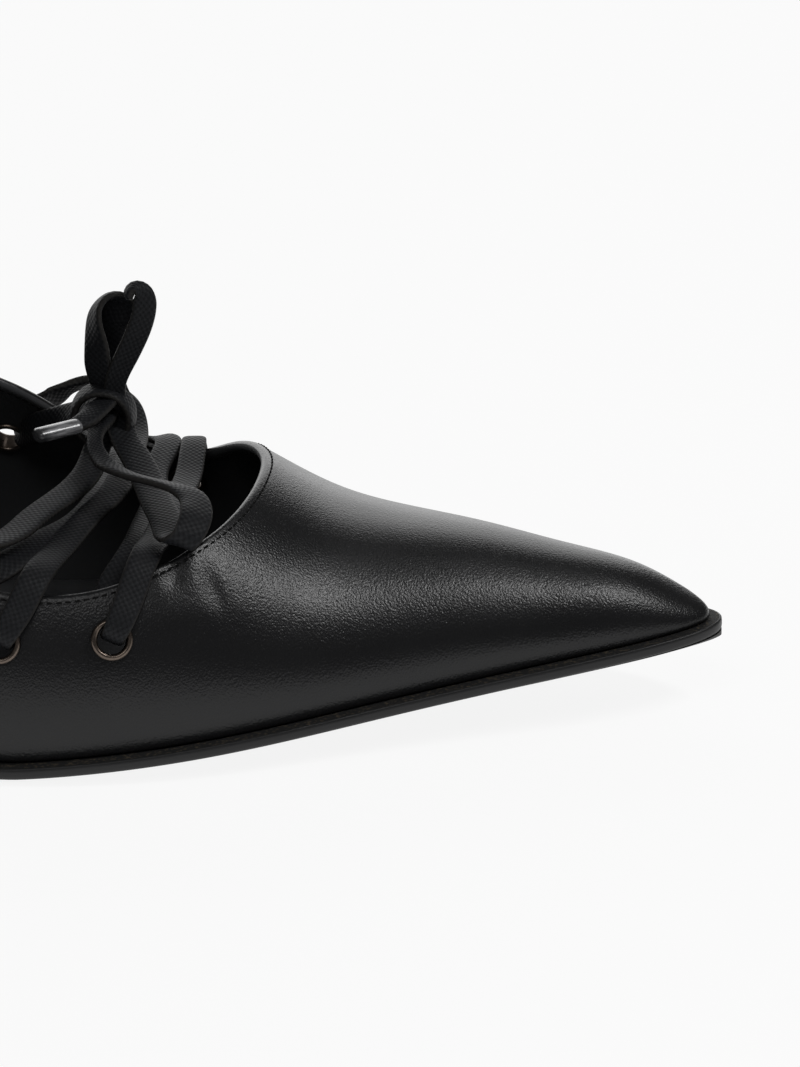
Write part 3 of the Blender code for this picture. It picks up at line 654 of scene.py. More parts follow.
# %% [markdown]
# ## The crossings
# Four stretches cross the opening. Each table row gives a place on X, how far across the opening
# it is, its lift over the straight line from edge to edge, and its width, which is less where the
# lace is pulled over the far edge. One tape makes the two front stretches: it comes up over the
# far edge, crosses to the first near eyelet, goes through it and returns underneath to the second
# far one.

# %% The crossings
FRONT_OVER = (
    (22.0, -1.0, 1.1, 4.8), (22.9, -0.61, 1.0, 5.0), (23.7, -0.01, 1.1, 5.2), (24.3, 0.49, 1.0, 4.6),
    (23.2, 1.0, 1.0, 4.0),
)
FRONT_UNDER = (
    (16.9, -0.87, -4.8, 5.2), (18.3, -0.63, -1.1, 5.2), (19.8, -0.15, 0.0, 5.2), (19.7, 0.23, 0.3, 4.8),
    (18.2, 0.61, 1.0, 4.6), (17.5, 1.0, 1.5, 4.6),
)
BACK_OVER = (
    (4.6, -1.0, 1.1, 5.0), (7.3, -0.61, 1.7, 5.2), (11.0, -0.26, 3.4, 5.2), (13.6, -0.06, 4.4, 5.2),
    (14.4, 0.22, 4.6, 4.8), (14.3, 0.58, 4.4, 4.6), (13.5, 0.85, 4.1, 4.8), (12.2, 0.99, 5.2, 5.0),
    (9.7, 1.09, 6.6, 5.2), (6.9, 1.16, 5.8, 2.6), (3.8, 1.25, 2.6, 2.2), (1.0, 1.3, -1.4, 2.8),
    (-1.6, 1.34, -5.7, 5.4), (-4.0, 1.36, -8.8, 5.0),
)
BACK_UNDER = (
    (-10.0, -0.89, -4.5, 5.4), (-1.0, -0.74, -0.5, 5.4), (4.0, -0.46, 0.8, 5.4), (8.6, -0.2, 1.3, 5.2),
    (11.6, 0.2, 2.0, 5.0), (11.0, 0.62, 0.8, 5.0), (8.5, 0.84, -1.4, 5.0),
)


def opening_rows(table, sign):
    """Rows of a table in mm as rows in metres."""
    return [over_opening(x * MM, across, lift * MM, sign, width * MM) for x, across, lift, width in table]


def front_crossing():
    """Far eyelet 1, over to near eyelet 1, through it, and back underneath to far eyelet 2."""
    first, last = FRONT_OVER[0][0] * MM, FRONT_OVER[-1][0] * MM
    rows = hole_rows("eyelet_medial_1", last, 1)[::-1]
    rows += [wall_row("eyelet_medial_1", last, 1)] + opening_rows(FRONT_OVER, 1)[::-1]
    rows += [wall_row("eyelet_lateral_1", first, 1)] + hole_rows("eyelet_lateral_1", first, 1)
    rows += opening_rows(FRONT_UNDER, -1)
    under = FRONT_UNDER[-1][0] * MM
    return rows + [wall_row("eyelet_medial_2", under, -1)] + hole_rows("eyelet_medial_2", under, -1)


def back_crossing_over():
    """Near eyelet 2, over the opening and outside the far edge to far eyelet 3."""
    first = BACK_OVER[0][0] * MM
    rows = hole_rows("eyelet_lateral_2", first, 1)[::-1] + [wall_row("eyelet_lateral_2", first, 1)]
    centre, out, forwards, _ = wall_frame(*EYELETS["eyelet_medial_3"])
    ahead = forwards * np.sign(forwards[0])
    rows += opening_rows(BACK_OVER, 1)
    rows.append(row(centre + ahead * 1.6 * MM + out * 1.4 * MM, out + ahead, 3.4 * MM))
    rows.append(row(centre + ahead * 1.5 * MM - out * 1.0 * MM, ahead, 3.0 * MM))
    return rows


def back_crossing_under():
    """Near eyelet 3's inside, under the other stretches, to far eyelet 2's inside."""
    rows = hole_rows("eyelet_lateral_3", BACK_UNDER[0][0] * MM, 1)[2:] + opening_rows(BACK_UNDER, -1)
    centre, out, _, upwards = wall_frame(*EYELETS["eyelet_medial_2"])
    rows.append(row(centre + upwards * 1.5 * MM - out * 3.4 * MM, out, 5.0 * MM))
    return rows + [row(centre - out * 1.2 * MM, upwards, LACE_IN_HOLE)]


make_lace("lace_front", front_crossing(), ["lace_crossings_front"])
make_lace("lace_back_over", back_crossing_over(), ["lace_crossings_back"])
make_lace("lace_back_under", back_crossing_under(), [])

# %% [markdown]
# ## The bow
# Two tapes meet in the knot. The near one comes out of the third near eyelet, makes the front
# loop and ends in the clear aglet. The far one makes the loop that stands up and the end beside
# it. The rows are the route, listed in mm: the middle line, the way that one flat side faces,
# and the width. Between the loops the tapes turn back inside the knot, where they are squeezed,
# and a band of the same lace goes round them there.

# %% The bow's routes
# place in x, y and z, facing in x, y and z, and width, in mm
RUN_LATERAL = (
    (-15.8, -36.8, 33.0, 0, -0.9, 0.4, 5.4), (-13.0, -35.4, 36.0, 0, -0.5, 0.8, 5.4),
    (-8.0, -30.0, 36.5, 0, -0.1, 1, 5.4), (-1.5, -24.0, 35.6, 0, 0, 1, 5.4),
    (2.7, -14.1, 36.0, 0, -0.1, 1, 5.4), (7.1, -4.1, 36.6, 0, -0.2, 1, 5.4),
    (9.2, 3.2, 37.5, 0, -0.4, 1, 5.0), (9.8, 9.5, 39.0, 0, -0.4, 0.9, 4.6),
)
TURN_TO_FRONT = (
    (10.4, 12.8, 40.4, 0, -0.6, 0.8, 4.2), (11.6, 16.0, 41.8, 0, -1, 0.1, 4.2),
    (12.9, 15.2, 43.0, 0, -0.3, -0.9, 4.2),
)
LOOP_FRONT = (
    (13.6, 12.4, 42.0, -0.2, 0.4, -0.9, 4.6), (16.0, 6.7, 39.8, -0.2, 0.4, -0.9, 5.2),
    (18.9, 0.4, 38.2, -0.1, 0.35, -0.93, 5.4), (22.4, -10.1, 37.0, 0, 0.2, -1, 5.4),
    (25.2, -18.6, 36.4, 0, 0.1, -1, 5.6), (26.9, -24.6, 36.4, -0.1, -0.3, -0.95, 5.2),
    (28.8, -26.9, 37.5, 0, -0.95, -0.2, 4.8), (30.0, -25.2, 39.2, 0.2, -0.75, 0.6, 5.3),
    (30.2, -21.0, 40.6, 0.3, -0.6, 0.75, 5.4), (28.9, -17.0, 41.2, 0.15, -0.15, 0.98, 4.8),
    (26.0, -14.2, 41.5, 0, 0.3, 0.95, 4.6), (21.5, -11.9, 41.7, 0, 0.38, 0.92, 4.6),
    (18.0, -10.0, 41.8, 0, 0.38, 0.92, 4.6), (14.4, -7.0, 42.0, 0, 0.38, 0.92, 4.4),
    (12.3, -3.6, 42.2, -0.1, 0.2, 0.95, 3.2), (11.0, -0.2, 42.6, -0.2, -0.2, 0.9, 2.8),
    (10.4, 3.4, 43.0, -0.2, -0.4, 0.9, 2.6), (10.4, 7.0, 43.4, -0.1, -0.6, 0.75, 3.0),
)
TURN_TO_BACK = (
    (10.9, 10.4, 44.0, 0, -0.9, 0.4, 4.0), (11.2, 13.4, 45.1, 0, -1, 0, 4.2),
    (11.3, 12.6, 46.3, 0.1, -0.1, -1, 4.2),
)
END_BACK = (
    (10.9, 11.0, 46.5, 0.1, 0.3, -0.95, 4.4), (9.9, 8.2, 46.1, 0.15, 0.4, -0.9, 4.4),
    (8.9, 5.6, 45.7, 0.1, 0.6, -0.8, 3.8),
)
RUN_MEDIAL = (
    (-6.9, 33.0, 32.6, -0.9, -0.3, 0.2, 3.2), (-5.9, 30.6, 32.8, -0.8, -0.6, 0.2, 3.8),
    (-4.5, 28.0, 34.6, -0.5, -0.8, 0.3, 4.8), (-2.1, 25.0, 36.8, -0.4, -0.8, 0.4, 5.0),
    (1.2, 22.5, 38.9, -0.4, -0.7, 0.5, 4.8), (5.1, 19.0, 41.5, -0.5, -0.5, 0.7, 5.0),
)
TURN_TO_UP = (
    (8.6, 16.2, 43.8, -0.6, -0.5, 0.6, 5.2), (10.2, 15.0, 45.6, -0.7, -0.7, 0.2, 4.0),
)
LOOP_UP = (
    (10.4, 14.0, 48.3, -0.4, -0.9, 0, 4.7), (9.8, 13.5, 52.2, -0.4, -0.9, 0, 5.2),
    (9.6, 13.6, 55.7, -0.6, -0.8, 0.1, 5.3), (9.2, 14.5, 59.5, -0.85, -0.5, 0.1, 5.3),
    (10.1, 15.3, 62.4, -0.65, 0, 0.75, 5.0), (12.2, 16.0, 63.7, -0.05, 0.38, 0.92, 5.0),
    (13.4, 17.0, 62.2, 0.4, 0.8, 0.45, 5.6), (11.7, 18.1, 58.6, 0.1, 0.99, 0.05, 5.6),
    (11.8, 18.4, 54.0, 0.2, 0.97, 0, 5.2), (11.4, 17.9, 49.0, 0.2, 0.95, 0, 4.4),
)
TURN_TO_END = (
    (12.2, 17.6, 45.6, 0.3, 0.95, 0, 4.8), (13.2, 16.6, 42.8, 0.1, 0.6, -0.8, 5.0),
    (13.0, 14.2, 43.2, 0, -0.6, -0.8, 4.4), (12.6, 13.2, 45.8, 0.1, -1, -0.2, 3.8),
)
END_UP = (
    (12.7, 12.6, 49.3, 0.3, -0.9, 0.1, 3.6), (14.8, 12.4, 54.5, 0.3, -0.9, 0.1, 4.0),
    (16.5, 12.4, 58.2, 0.3, -0.9, 0.1, 4.1), (17.6, 12.6, 61.3, 0.3, -0.9, 0.2, 4.0),
    (17.9, 12.9, 63.7, 0.2, -0.75, 0.5, 4.0), (17.4, 13.2, 65.5, -0.1, -0.4, 0.9, 3.4),
    (16.2, 13.2, 66.1, -0.5, -0.2, 0.8, 2.8), (15.4, 12.8, 65.1, -0.9, -0.3, 0.2, 2.6),
    (15.9, 12.6, 64.2, -0.4, -0.3, -0.8, 2.4),
)


def bow_rows(table):
    """Rows of a table in mm as rows in metres; the facings aren't lengths."""
    return [row(np.array(line[:3]) * MM, line[3:6], line[6] * MM) for line in table]


# %% The knot's band
KNOT_CENTRE = np.array([10.4, 14.5, 43.4]) * MM
BAND_REACH = (4.8 * MM, 4.8 * MM)
BAND_FORWARD = 1.5 * MM
BAND_WIDTH = 4.6 * MM
BAND_ARC = np.radians(np.linspace(-75, 255, 23))


def band_rows():
    """The band round the knot: an ellipse that faces outwards, with its ends hidden below."""
    rows = []
    for angle in BAND_ARC:
        out = np.array([np.cos(angle), 0, np.sin(angle)])
        away = np.array([BAND_REACH[0] * out[0], -BAND_FORWARD, BAND_REACH[1] * out[2]])
        rows.append(row(KNOT_CENTRE + away, out + np.array([0, -0.12, 0]), BAND_WIDTH))
    return rows


knot_band, _, _ = make_lace("knot_band", band_rows(), ["lace_knot"])

# %% [markdown]
# ## The aglet
# The lace's end is held in a short clear sleeve, slightly flattened, with rounded ends. It is a
# turned profile carried along its own axis, and it stands where the solid one does.

# %% The aglet
AGLET_ENDS = np.array([(8.1, 3.7, 45.3), (1.0, -1.3, 45.0)]) * MM
AGLET_WIDTH = 3.4 * MM
AGLET_THICKNESS = 2.4 * MM
AGLET_ROUND = 0.9 * MM
AGLET_RINGS, AGLET_SIDES = 49, 40


def make_aglet():
    """Rings along the axis: each is an ellipse whose size falls off as a quarter round at the ends."""
    start, end = AGLET_ENDS
    run = unit(end - start)
    across = unit(np.cross(run, [0, 0, 1]))
    up = np.cross(across, run)
    length = np.linalg.norm(end - start)
    at = length * (1 - np.cos(np.linspace(0, np.pi, AGLET_RINGS))) / 2
    near_end = np.clip(np.minimum(at, length - at) / AGLET_ROUND, 0, 1)
    size = np.sqrt(1 - (1 - near_end) ** 2)[:, None]
    angles = full_turn(AGLET_SIDES)
    wide, high = np.cos(angles) * AGLET_WIDTH / 2, np.sin(angles) * AGLET_THICKNESS / 2
    plan = wide[:, None] * across + high[:, None] * up
    points = start + at[:, None, None] * run + size[..., None] * plan
    flat = np.stack(np.broadcast_arrays(at[:, None], np.abs(angles - np.pi) * MM), -1) / MM
    return make_piece("aglet_sleeve", points, grid_faces(AGLET_RINGS, AGLET_SIDES), [aglet_plastic],
                      ["aglet"], flat)


aglet = make_aglet()

# %% The two tapes of the bow
into_aglet = row(AGLET_ENDS[0] * 0.8 + AGLET_ENDS[1] * 0.2, (0, 0.5, -0.85), 2.6 * MM)
near_tape = (
    hole_rows("eyelet_lateral_3", -15.8 * MM, 1)[3:0:-1]
    + bow_rows(RUN_LATERAL + TURN_TO_FRONT + LOOP_FRONT + TURN_TO_BACK + END_BACK) + [into_aglet]
)
lace_near, line, length = make_lace("lace_near_tape", near_tape,
                                    ["lace_run_lateral", "lace_loop_front", "lace_end_back"])
print("near tape:", round(length / MM), "mm")

far_tape = bow_rows(RUN_MEDIAL + TURN_TO_UP + LOOP_UP + TURN_TO_END + END_UP)
lace_far, line, length = make_lace("lace_far_tape", far_tape,
                                   ["lace_run_medial", "lace_loop_up", "lace_end_up"])
print("far tape:", round(length / MM), "mm")

# %% [markdown]
# ## The upper
# The upper is calf outside and a thin lining inside, folded over at the topline. It is one closed
# shell on a fine grid: rows go up the outside, round the fold, down the lining and round the
# lower edge, and columns go round the shoe. The eyelet holes are made in the grid itself, because
# a Boolean on so fine a mesh is slow: the faces inside a circle are left out, the points round
# them are pulled onto it, and a short wall joins outside to lining.

# %% Where the columns run
LEAN_FROM_X = -5 * MM
LEAN_POWER = 1.3
ROW_POWER = 1.2
UPPER_COLUMNS = 250
UPPER_ROWS = 76
FOLD_STEPS = 9
DENSE_X = 15 * MM
DENSE_REACH = 42 * MM


def girth_scale(x):
    """A length that goes with the girth, so that the columns run evenly over the last."""
    return half_width(x, -1) + 0.75 * ridge_height(x) + 1e-7


def round_the_shoe(count):
    """Shares of a half turn for columns up one side and back down the other, closer at the throat."""
    fine = np.linspace(0, 1, 2001)
    density = 1 + 1.3 * np.exp(-(((x_at(fine) - DENSE_X) / DENSE_REACH) ** 2))
    running = np.concatenate([[0], np.cumsum((density[1:] + density[:-1]) / 2)])
    steps = np.interp(np.linspace(0, 1, count + 1), running / running[-1], fine)
    sides = np.concatenate([-np.ones(count + 1), np.ones(count - 1)])
    return np.concatenate([steps, steps[-2:0:-1]]), sides


COLUMN_TURNS, COLUMN_SIDES = round_the_shoe(UPPER_COLUMNS)


def upper_outside(rows, drop):
    """Rows of the upper's outside from the sole to a drop below the topline."""
    foot_x = x_at(COLUMN_TURNS)
    lean = np.clip((foot_x - LEAN_FROM_X) / (TIP_X - LEAN_FROM_X), 0, 1) ** LEAN_POWER
    top_x = foot_x - (TIP_X - THROAT_X) * lean
    share = turn((top_x - BACK_X) / (THROAT_X - BACK_X))
    lateral, medial = (smooth(turn(TOPLINE[:, 0]), TOPLINE[:, k], share) for k in (1, 2))
    bare = np.clip(np.where(COLUMN_SIDES < 0, lateral, medial), 0, 1)

    def wall(up):
        x = foot_x + (top_x - foot_x) * up
        reach = girth_scale(foot_x) * (1 - up) + girth_scale(top_x) * bare * up
        return surface(x, COLUMN_SIDES, np.clip(reach / girth_scale(x), 0, 1))

    rough = wall(np.linspace(0, 1, 13)[:, None])
    height = np.linalg.norm(np.diff(rough, axis=0), axis=-1).sum(0)
    up = np.linspace(0, 1, rows + 1)[:, None] ** ROW_POWER
    return wall(up * (1 - drop / height))


def grid_normals(grid):
    """Outward normals of a grid that closes round its columns."""
    return unit(np.cross(np.roll(grid, -1, 1) - np.roll(grid, 1, 1), np.gradient(grid, axis=0)))


# %% [markdown]
# ## Creases
# Beside the first near eyelet the lace pulls at the leather, which folds a little. A few bells
# taken off the outside along its normals are enough, since a real crease has soft flanks.

# %% Creases
CREASES = (
    # side, x, girth, slant in degrees, length, width, depth in mm
    (-1, 27.4, 0.530, 80, 3.2, 1.9, 0.50),
    (-1, 29.0, 0.640, 10, 7.0, 2.6, -0.14),
    (-1, 23.0, 0.590, 50, 3.0, 1.0, 0.20),
    (-1, 33.5, 0.555, 115, 4.5, 1.6, 0.22),
)
CREASE_REACH = 8 * MM


def creased(grid):
    """Soft troughs, or a swell where the depth is negative: each is a bell across and a longer bell
    along, taken off along the normal."""
    depth = np.zeros(grid.shape[:2])
    for side, x, girth, slant, length, width, deep in CREASES:
        centre, out, forwards, upwards = wall_frame(x * MM, side, girth)
        away = grid - centre
        slant = np.radians(slant)
        forwards = forwards * np.sign(forwards[0])
        run = (away @ forwards) * np.cos(slant) + (away @ upwards) * np.sin(slant)
        over = (away @ upwards) * np.cos(slant) - (away @ forwards) * np.sin(slant)
        near = np.abs(away @ out) < CREASE_REACH
        depth += near * deep * MM * np.exp(-((run / length / MM) ** 2) - (over / width / MM) ** 2)
    return grid - grid_normals(grid) * depth[..., None]


# %% Holes in the grid
HOLE_CUT = 2.75 * MM
SAME_WALL = 4 * MM


def cut_holes(outside):
    """The outside with the points round each eyelet pulled onto a circle, and the faces left out.
    Points further than SAME_WALL from the eyelet's plane are on another part of the shoe."""
    rows, around = outside.shape[:2]
    gone = np.zeros((rows - 1, around), bool)
    shift = np.zeros_like(outside)
    for place in EYELETS.values():
        centre, out, forwards, upwards = wall_frame(*place)
        away = outside - centre
        a, b = away @ forwards, away @ upwards
        radius = np.hypot(a, b) + (np.abs(away @ out) > SAME_WALL)
        inner = radius < HOLE_CUT
        wide = inner | np.roll(inner, -1, 1)
        cut = wide[:-1] | wide[1:]
        gone |= cut
        corners = np.zeros((rows, around), bool)
        for down, back in ((0, 0), (0, 1), (1, 0), (1, 1)):
            corners[down : rows - 1 + down] |= np.roll(cut, back, 1)
        pull = np.where(corners & ~inner, HOLE_CUT / radius - 1, 0)[..., None]
        shift += pull * (a[..., None] * forwards + b[..., None] * upwards)
    return outside + shift, gone


def hole_walls(faces, gone, opposite):
    """Quads from each hole's edge outside to its edge in the lining; an outside row and the lining
    row that faces it add up to opposite."""
    def edges(of):
        return np.concatenate([of[:, [k, (k + 1) % 4]] for k in range(4)])

    held, left_out = edges(faces[~gone]), edges(faces[gone])
    size = faces.max() + 1
    rim = held[np.isin(held[:, 1] * size + held[:, 0], left_out[:, 0] * size + left_out[:, 1])]
    around = gone.shape[1]
    across = (opposite - rim // around) * around + rim % around
    return np.stack([rim[:, 1], rim[:, 0], across[:, 0], across[:, 1]], 1)


# %% The shell
SOLE_TUCK = 0.4 * MM


def shell_rings(outside, normals):
    """Rows up the outside, round the fold, down the lining, and round the lower edge. The lining
    stays on its own side of the middle and over the sole."""
    inside = outside - WALL * normals
    centre_y = middle(inside[..., 0])
    off = COLUMN_SIDES * (inside[..., 1] - centre_y)
    inside[..., 1] = np.where(off < 0, centre_y, inside[..., 1])
    inside[..., 2] = np.maximum(inside[..., 2], sole_top(inside[..., 0]) + BED_GAP)
    angles = np.linspace(0, np.pi, FOLD_STEPS + 2)[1:-1, None, None]
    inwards, outwards = WALL / 2 * (np.cos(angles) - 1), np.sin(angles)
    fold = outside[-1] + inwards * normals[-1] + WALL / 2 * outwards * unit(outside[-1] - outside[-2])
    tuck = outside[0] + inwards * normals[0] - SOLE_TUCK * outwards * np.array([0, 0, 1])
    return np.concatenate([outside, fold, inside[::-1], tuck[::-1]])


def make_upper():
    """One shell of calf as far as half-way round the fold, and of lining from there on."""
    outside = creased(upper_outside(UPPER_ROWS, WALL / 2))
    normals = grid_normals(outside)
    normals[0, :, 2] = 0
    normals[0] = unit(normals[0])
    outside, gone = cut_holes(outside)
    rings = shell_rings(outside, normals)
    rows = len(outside)
    lining_start = rows + FOLD_STEPS
    faces = grid_faces(*rings.shape[:2], round_rows=True)
    walls = hole_walls(faces[: rows - 1], gone, lining_start + rows - 1)
    kept = np.ones(faces.shape[:2], bool)
    kept[: rows - 1] = ~gone
    kept[lining_start : lining_start + rows - 1] = ~gone[::-1]
    part = np.zeros(kept.shape, int)
    part[rows + FOLD_STEPS // 2 : lining_start + rows] = 1
    finish_of = np.concatenate([part[kept], np.zeros(len(walls), int)])
    used, faces = np.unique(np.concatenate([faces[kept], walls]), return_inverse=True)
    return make_piece("upper_shell", rings.reshape(-1, 3)[used], faces.reshape(-1, 4), [calf, lining],
                      ["upper"], finish_of=finish_of)


make_upper()

# %% [markdown]
# ## Stitches
# A single row of black thread runs 1.5 mm under the topline, and it shows inside too. Each stitch
# is a small capsule, sunk a little into the leather. One capsule is copied to every place by array
# arithmetic, so hundreds of stitches are one mesh.

# %% Stitches
STITCH_DROP = 1.5 * MM
STITCH_PITCH = 1.5 * MM
STITCH_LENGTH = 1.05 * MM
STITCH_WIDTH = 0.34 * MM
STITCH_LIFT = 0.05 * MM
STITCH_RINGS, STITCH_SIDES = 7, 6
GUIDE_ROWS = 24


def capsule():
    """A rod with round ends of length 1 along X and width 1: rings of a half circle."""
    at = np.linspace(0, np.pi, STITCH_RINGS)[:, None]
    angles = full_turn(STITCH_SIDES)
    size = np.sin(at) ** 0.6 / 2
    parts = np.broadcast_arrays(-np.cos(at) / 2, size * np.cos(angles), size * np.sin(angles))
    rings = np.stack(parts, -1)
    return rings.reshape(-1, 3), grid_faces(STITCH_RINGS, STITCH_SIDES).reshape(-1, 4)


def make_stitches(name, line, out):
    """Capsules along a closed line, a pitch apart, lying in it with out as their upper side."""
    line, out = np.concatenate([line, line[:1]]), np.concatenate([out, out[:1]])
    run = line_lengths(line)
    count = int(run[-1] / STITCH_PITCH)
    at = (np.arange(count) + 0.5) * run[-1] / count
    places = at_lengths(at, run, line)
    forwards = unit(at_lengths(at + 0.2 * MM, run, line) - places)
    up = unit(at_lengths(at, run, out))
    side = np.cross(up, forwards)
    body, faces = capsule()
    body = body * [STITCH_LENGTH, STITCH_WIDTH, STITCH_WIDTH]
    frames = np.stack([forwards, side, up], 1)
    points = places[:, None] + np.einsum("pk,nkc->npc", body, frames)
    every = faces[None] + (np.arange(count) * len(body))[:, None, None]
    return make_piece(name, points, every, [thread])


stitch_rows = upper_outside(GUIDE_ROWS, STITCH_DROP)
stitch_out = grid_normals(stitch_rows)[-1]
make_stitches("topline_stitches", stitch_rows[-1] + stitch_out * STITCH_LIFT, stitch_out)
make_stitches("lining_stitches", stitch_rows[-1] - stitch_out * (WALL + STITCH_LIFT), -stitch_out)

# %% [markdown]
# ## Eyelets
# An eyelet is a short tube of thin metal with a flange outside, rolled over inside. It is a
# turned profile: one closed section carried round the hole's axis.

# %% Eyelets
BARREL = 0.2 * MM
FLANGE_LIFT = 0.1 * MM
ROLL_RADIUS = 0.45 * MM
EYELET_SIDES = 72


def make_eyelet(name, place):
    """The section goes up the bore, over the flange as a half ellipse, and down to the roll."""
    bore, rim = EYELET_HOLE / 2, EYELET_FLANGE / 2
    over = np.linspace(np.pi, 0, 13)
    flange = np.stack([(bore + rim) / 2 + (rim - bore) / 2 * np.cos(over),
                       FIT + FLANGE_LIFT + (EYELET_ROLL + FLANGE_LIFT) * np.sin(over)], -1)
    under = np.linspace(0, -np.pi, 9)
    back = -WALL - FIT - FLANGE_LIFT
    roll = np.stack([bore + ROLL_RADIUS * (1 + np.cos(under)), back + ROLL_RADIUS * np.sin(under)], -1)
    barrel = np.array([(bore + BARREL, FIT), (bore + BARREL, back)])
    section = np.concatenate([flange, barrel, roll])
    centre, out, sideways, upwards = wall_frame(*place)
    angles = full_turn(EYELET_SIDES)[:, None]
    away = np.cos(angles) * sideways + np.sin(angles) * upwards
    points = centre + section[None, :, :1] * away[:, None] + section[None, :, 1:] * out
    faces = grid_faces(EYELET_SIDES, len(section), round_rows=True)
    return make_piece(name + "_ring", points, faces, [gunmetal], [name])


for name, place in EYELETS.items():
    make_eyelet(name, place)

# %% [markdown]
# ## The sole
# The outsole is thin leather with a narrow ledge round the upper. Its section is carried from the
# heel's breast to the toe: a flat top, a raw ledge, an inked edge with soft corners, and an
# underside that is pared thinner towards the edge.

# %% The sole
SOLE_EDGE = 2.0 * MM
LEDGE = 2.4 * MM
LEDGE_SHARE = np.array([
    # along, share of the ledge
    (0.0, 0.12), (0.18, 0.0), (0.36, 0.0), (0.5, 0.75), (0.576, 1.0), (0.9, 1.0), (1.0, 0.8),
])
EDGE_CURVE = np.array([
    # out from the edge, down from the top, in mm
    (-2.6, 0.0), (-1.6, 0.0), (-0.8, 0.0), (-0.35, 0.0), (-0.12, 0.05), (0.0, 0.2), (0.05, 0.7),
    (0.05, 1.3), (0.0, 1.65), (-0.2, 1.92), (-0.5, 2.0),
]) * MM
UNDER_SHARES = np.array([0.96, 0.9, 0.84, 0.76, 0.66, 0.55, 0.35, 0.12])
PARED_FROM = 0.55
PARED_POWER = 1.6
SOLE_SECTIONS = 260


def with_ends(rings):
    """Rings with a fan to the middle of the first and of the last."""
    ends = rings[[0, -1]].mean(1, keepdims=True) + rings[[0, -1]] * 0
    return np.concatenate([ends[:1], rings, ends[1:]])


def make_sole():
    """Sections across the sole, from the heel's breast to the toe, closed at both ends. Each half
    of a section starts with three steps of raw ledge and goes over the edge to the underside."""
    start = turn(along(BREAST_X))
    turns = start + (1 - start) * np.linspace(0, 1, SOLE_SECTIONS)
    spread = LEDGE * np.interp(along(x_at(turns)), LEDGE_SHARE[:, 0], LEDGE_SHARE[:, 1])
    columns = []
    for side in (1, -1):
        half = []
        for out, down in EDGE_CURVE:
            plan = footprint(turns, side, spread + out)
            half.append(np.column_stack([plan, sole_top(plan[:, 0]) - down]))
        outer, other = footprint(turns, side, spread), footprint(turns, -side, spread)
        for share in UNDER_SHARES:
            plan = outer * (1 + share) / 2 + other * (1 - share) / 2
            pared = max((share - PARED_FROM) / (1 - PARED_FROM), 0) ** PARED_POWER
            half.append(np.column_stack([plan, rise(plan[:, 0]) + (SOLE_THICKNESS - SOLE_EDGE) * pared]))
        columns += half if side > 0 else half[::-1]
    points = np.stack(columns, 1)
    total, around = points.shape[:2]
    finish_of = np.zeros((total - 1, around), int)
    count, under_count = len(EDGE_CURVE), len(UNDER_SHARES)
    finish_of[:, :3] = finish_of[:, -4:-1] = 1
    finish_of[:, count - 1 : count + 2 * under_count] = 2
    finish_of = np.concatenate([finish_of[:1] * 0, finish_of, finish_of[:1] * 0])
    return make_piece("outsole_fine", with_ends(points), grid_faces(total + 2, around),
                      [sole_edge, ledge, sole_bottom], ["outsole"],
                      finish_of=finish_of.ravel())


make_sole()

# %% [markdown]
# ## The heel, its tip and the insole
# The photograph doesn't show the heel, so it is finished plainly: a slim covered heel on a hard
# rubber top piece. Its rings run from the seat's outline to the small tip, and the share that is
# left of the seat falls with a power of the height. The insole is a thin board with a sock.

# %% The heel
HEEL_TIP_X = BACK_X + 15 * MM
HEEL_TIP_LENGTH = 12 * MM
HEEL_TIP_WIDTH = 13 * MM
HEEL_TIP_POWER = 2 / 2.8
HEEL_TAPER = 2.3
TOP_PIECE_HEIGHT = 6 * MM
HEEL_RINGS, SEAT_STEPS, BREAST_STEPS, TIP_STEPS = 60, 61, 25, 72


def heel_tip_ring(angles, grow):
    """The tip's outline, a superellipse a little wider than long."""
    x, y = superellipse(angles, HEEL_TIP_POWER, HEEL_TIP_POWER)
    return np.stack([HEEL_TIP_X + (HEEL_TIP_LENGTH / 2 + grow) * x, (HEEL_TIP_WIDTH / 2 + grow) * y], -1)


def heel_seat_ring():
    """The heel's outline at the seat, with a straight breast."""
    turns = np.linspace(turn(along(BREAST_X - FIT)), 0, SEAT_STEPS)
    spread = np.full(len(turns), LEDGE * LEDGE_SHARE[0, 1])
    lateral, medial = footprint(turns, -1, spread), footprint(turns, 1, spread)
    lateral[0, 0] = medial[0, 0] = BREAST_X - FIT
    breast = medial[0] + (lateral[0] - medial[0]) * np.linspace(0, 1, BREAST_STEPS)[1:-1, None]
    return np.concatenate([lateral, medial[-2::-1], breast])


def closed_loft(name, rings, finish, nodes):
    """Rings joined into a solid, closed at both ends."""
    rings = with_ends(np.array(rings))
    return make_piece(name, rings, grid_faces(*rings.shape[:2]), [finish], nodes)


seat = heel_seat_ring()
seat_middle_x = (BREAST_X + BACK_X) / 2
tip = heel_tip_ring(np.arctan2(seat[:, 1], seat[:, 0] - seat_middle_x), 0)
rings = []
for down in np.linspace(0, 1, HEEL_RINGS):
    plan = tip + (seat - tip) * (1 - down) ** HEEL_TAPER
    rings.append(np.column_stack([plan, sole_top(seat[:, 0]) * (1 - down) + TOP_PIECE_HEIGHT * down]))
closed_loft("heel_cover", rings, heel_calf, ["heel"])

TOP_PIECE = (
    # height, growth of the outline, in mm
    (0, -0.6), (0.1, -0.3), (0.35, -0.05), (0.8, 0), (5.2, 0), (5.55, -0.1), (5.7, -0.4),
)
rings = []
for height, grow in TOP_PIECE:
    plan = heel_tip_ring(full_turn(TIP_STEPS), grow * MM)
    rings.append(np.column_stack([plan, np.full(len(plan), height * MM)]))
closed_loft("top_piece_fine", rings, rubber, ["top_piece"])


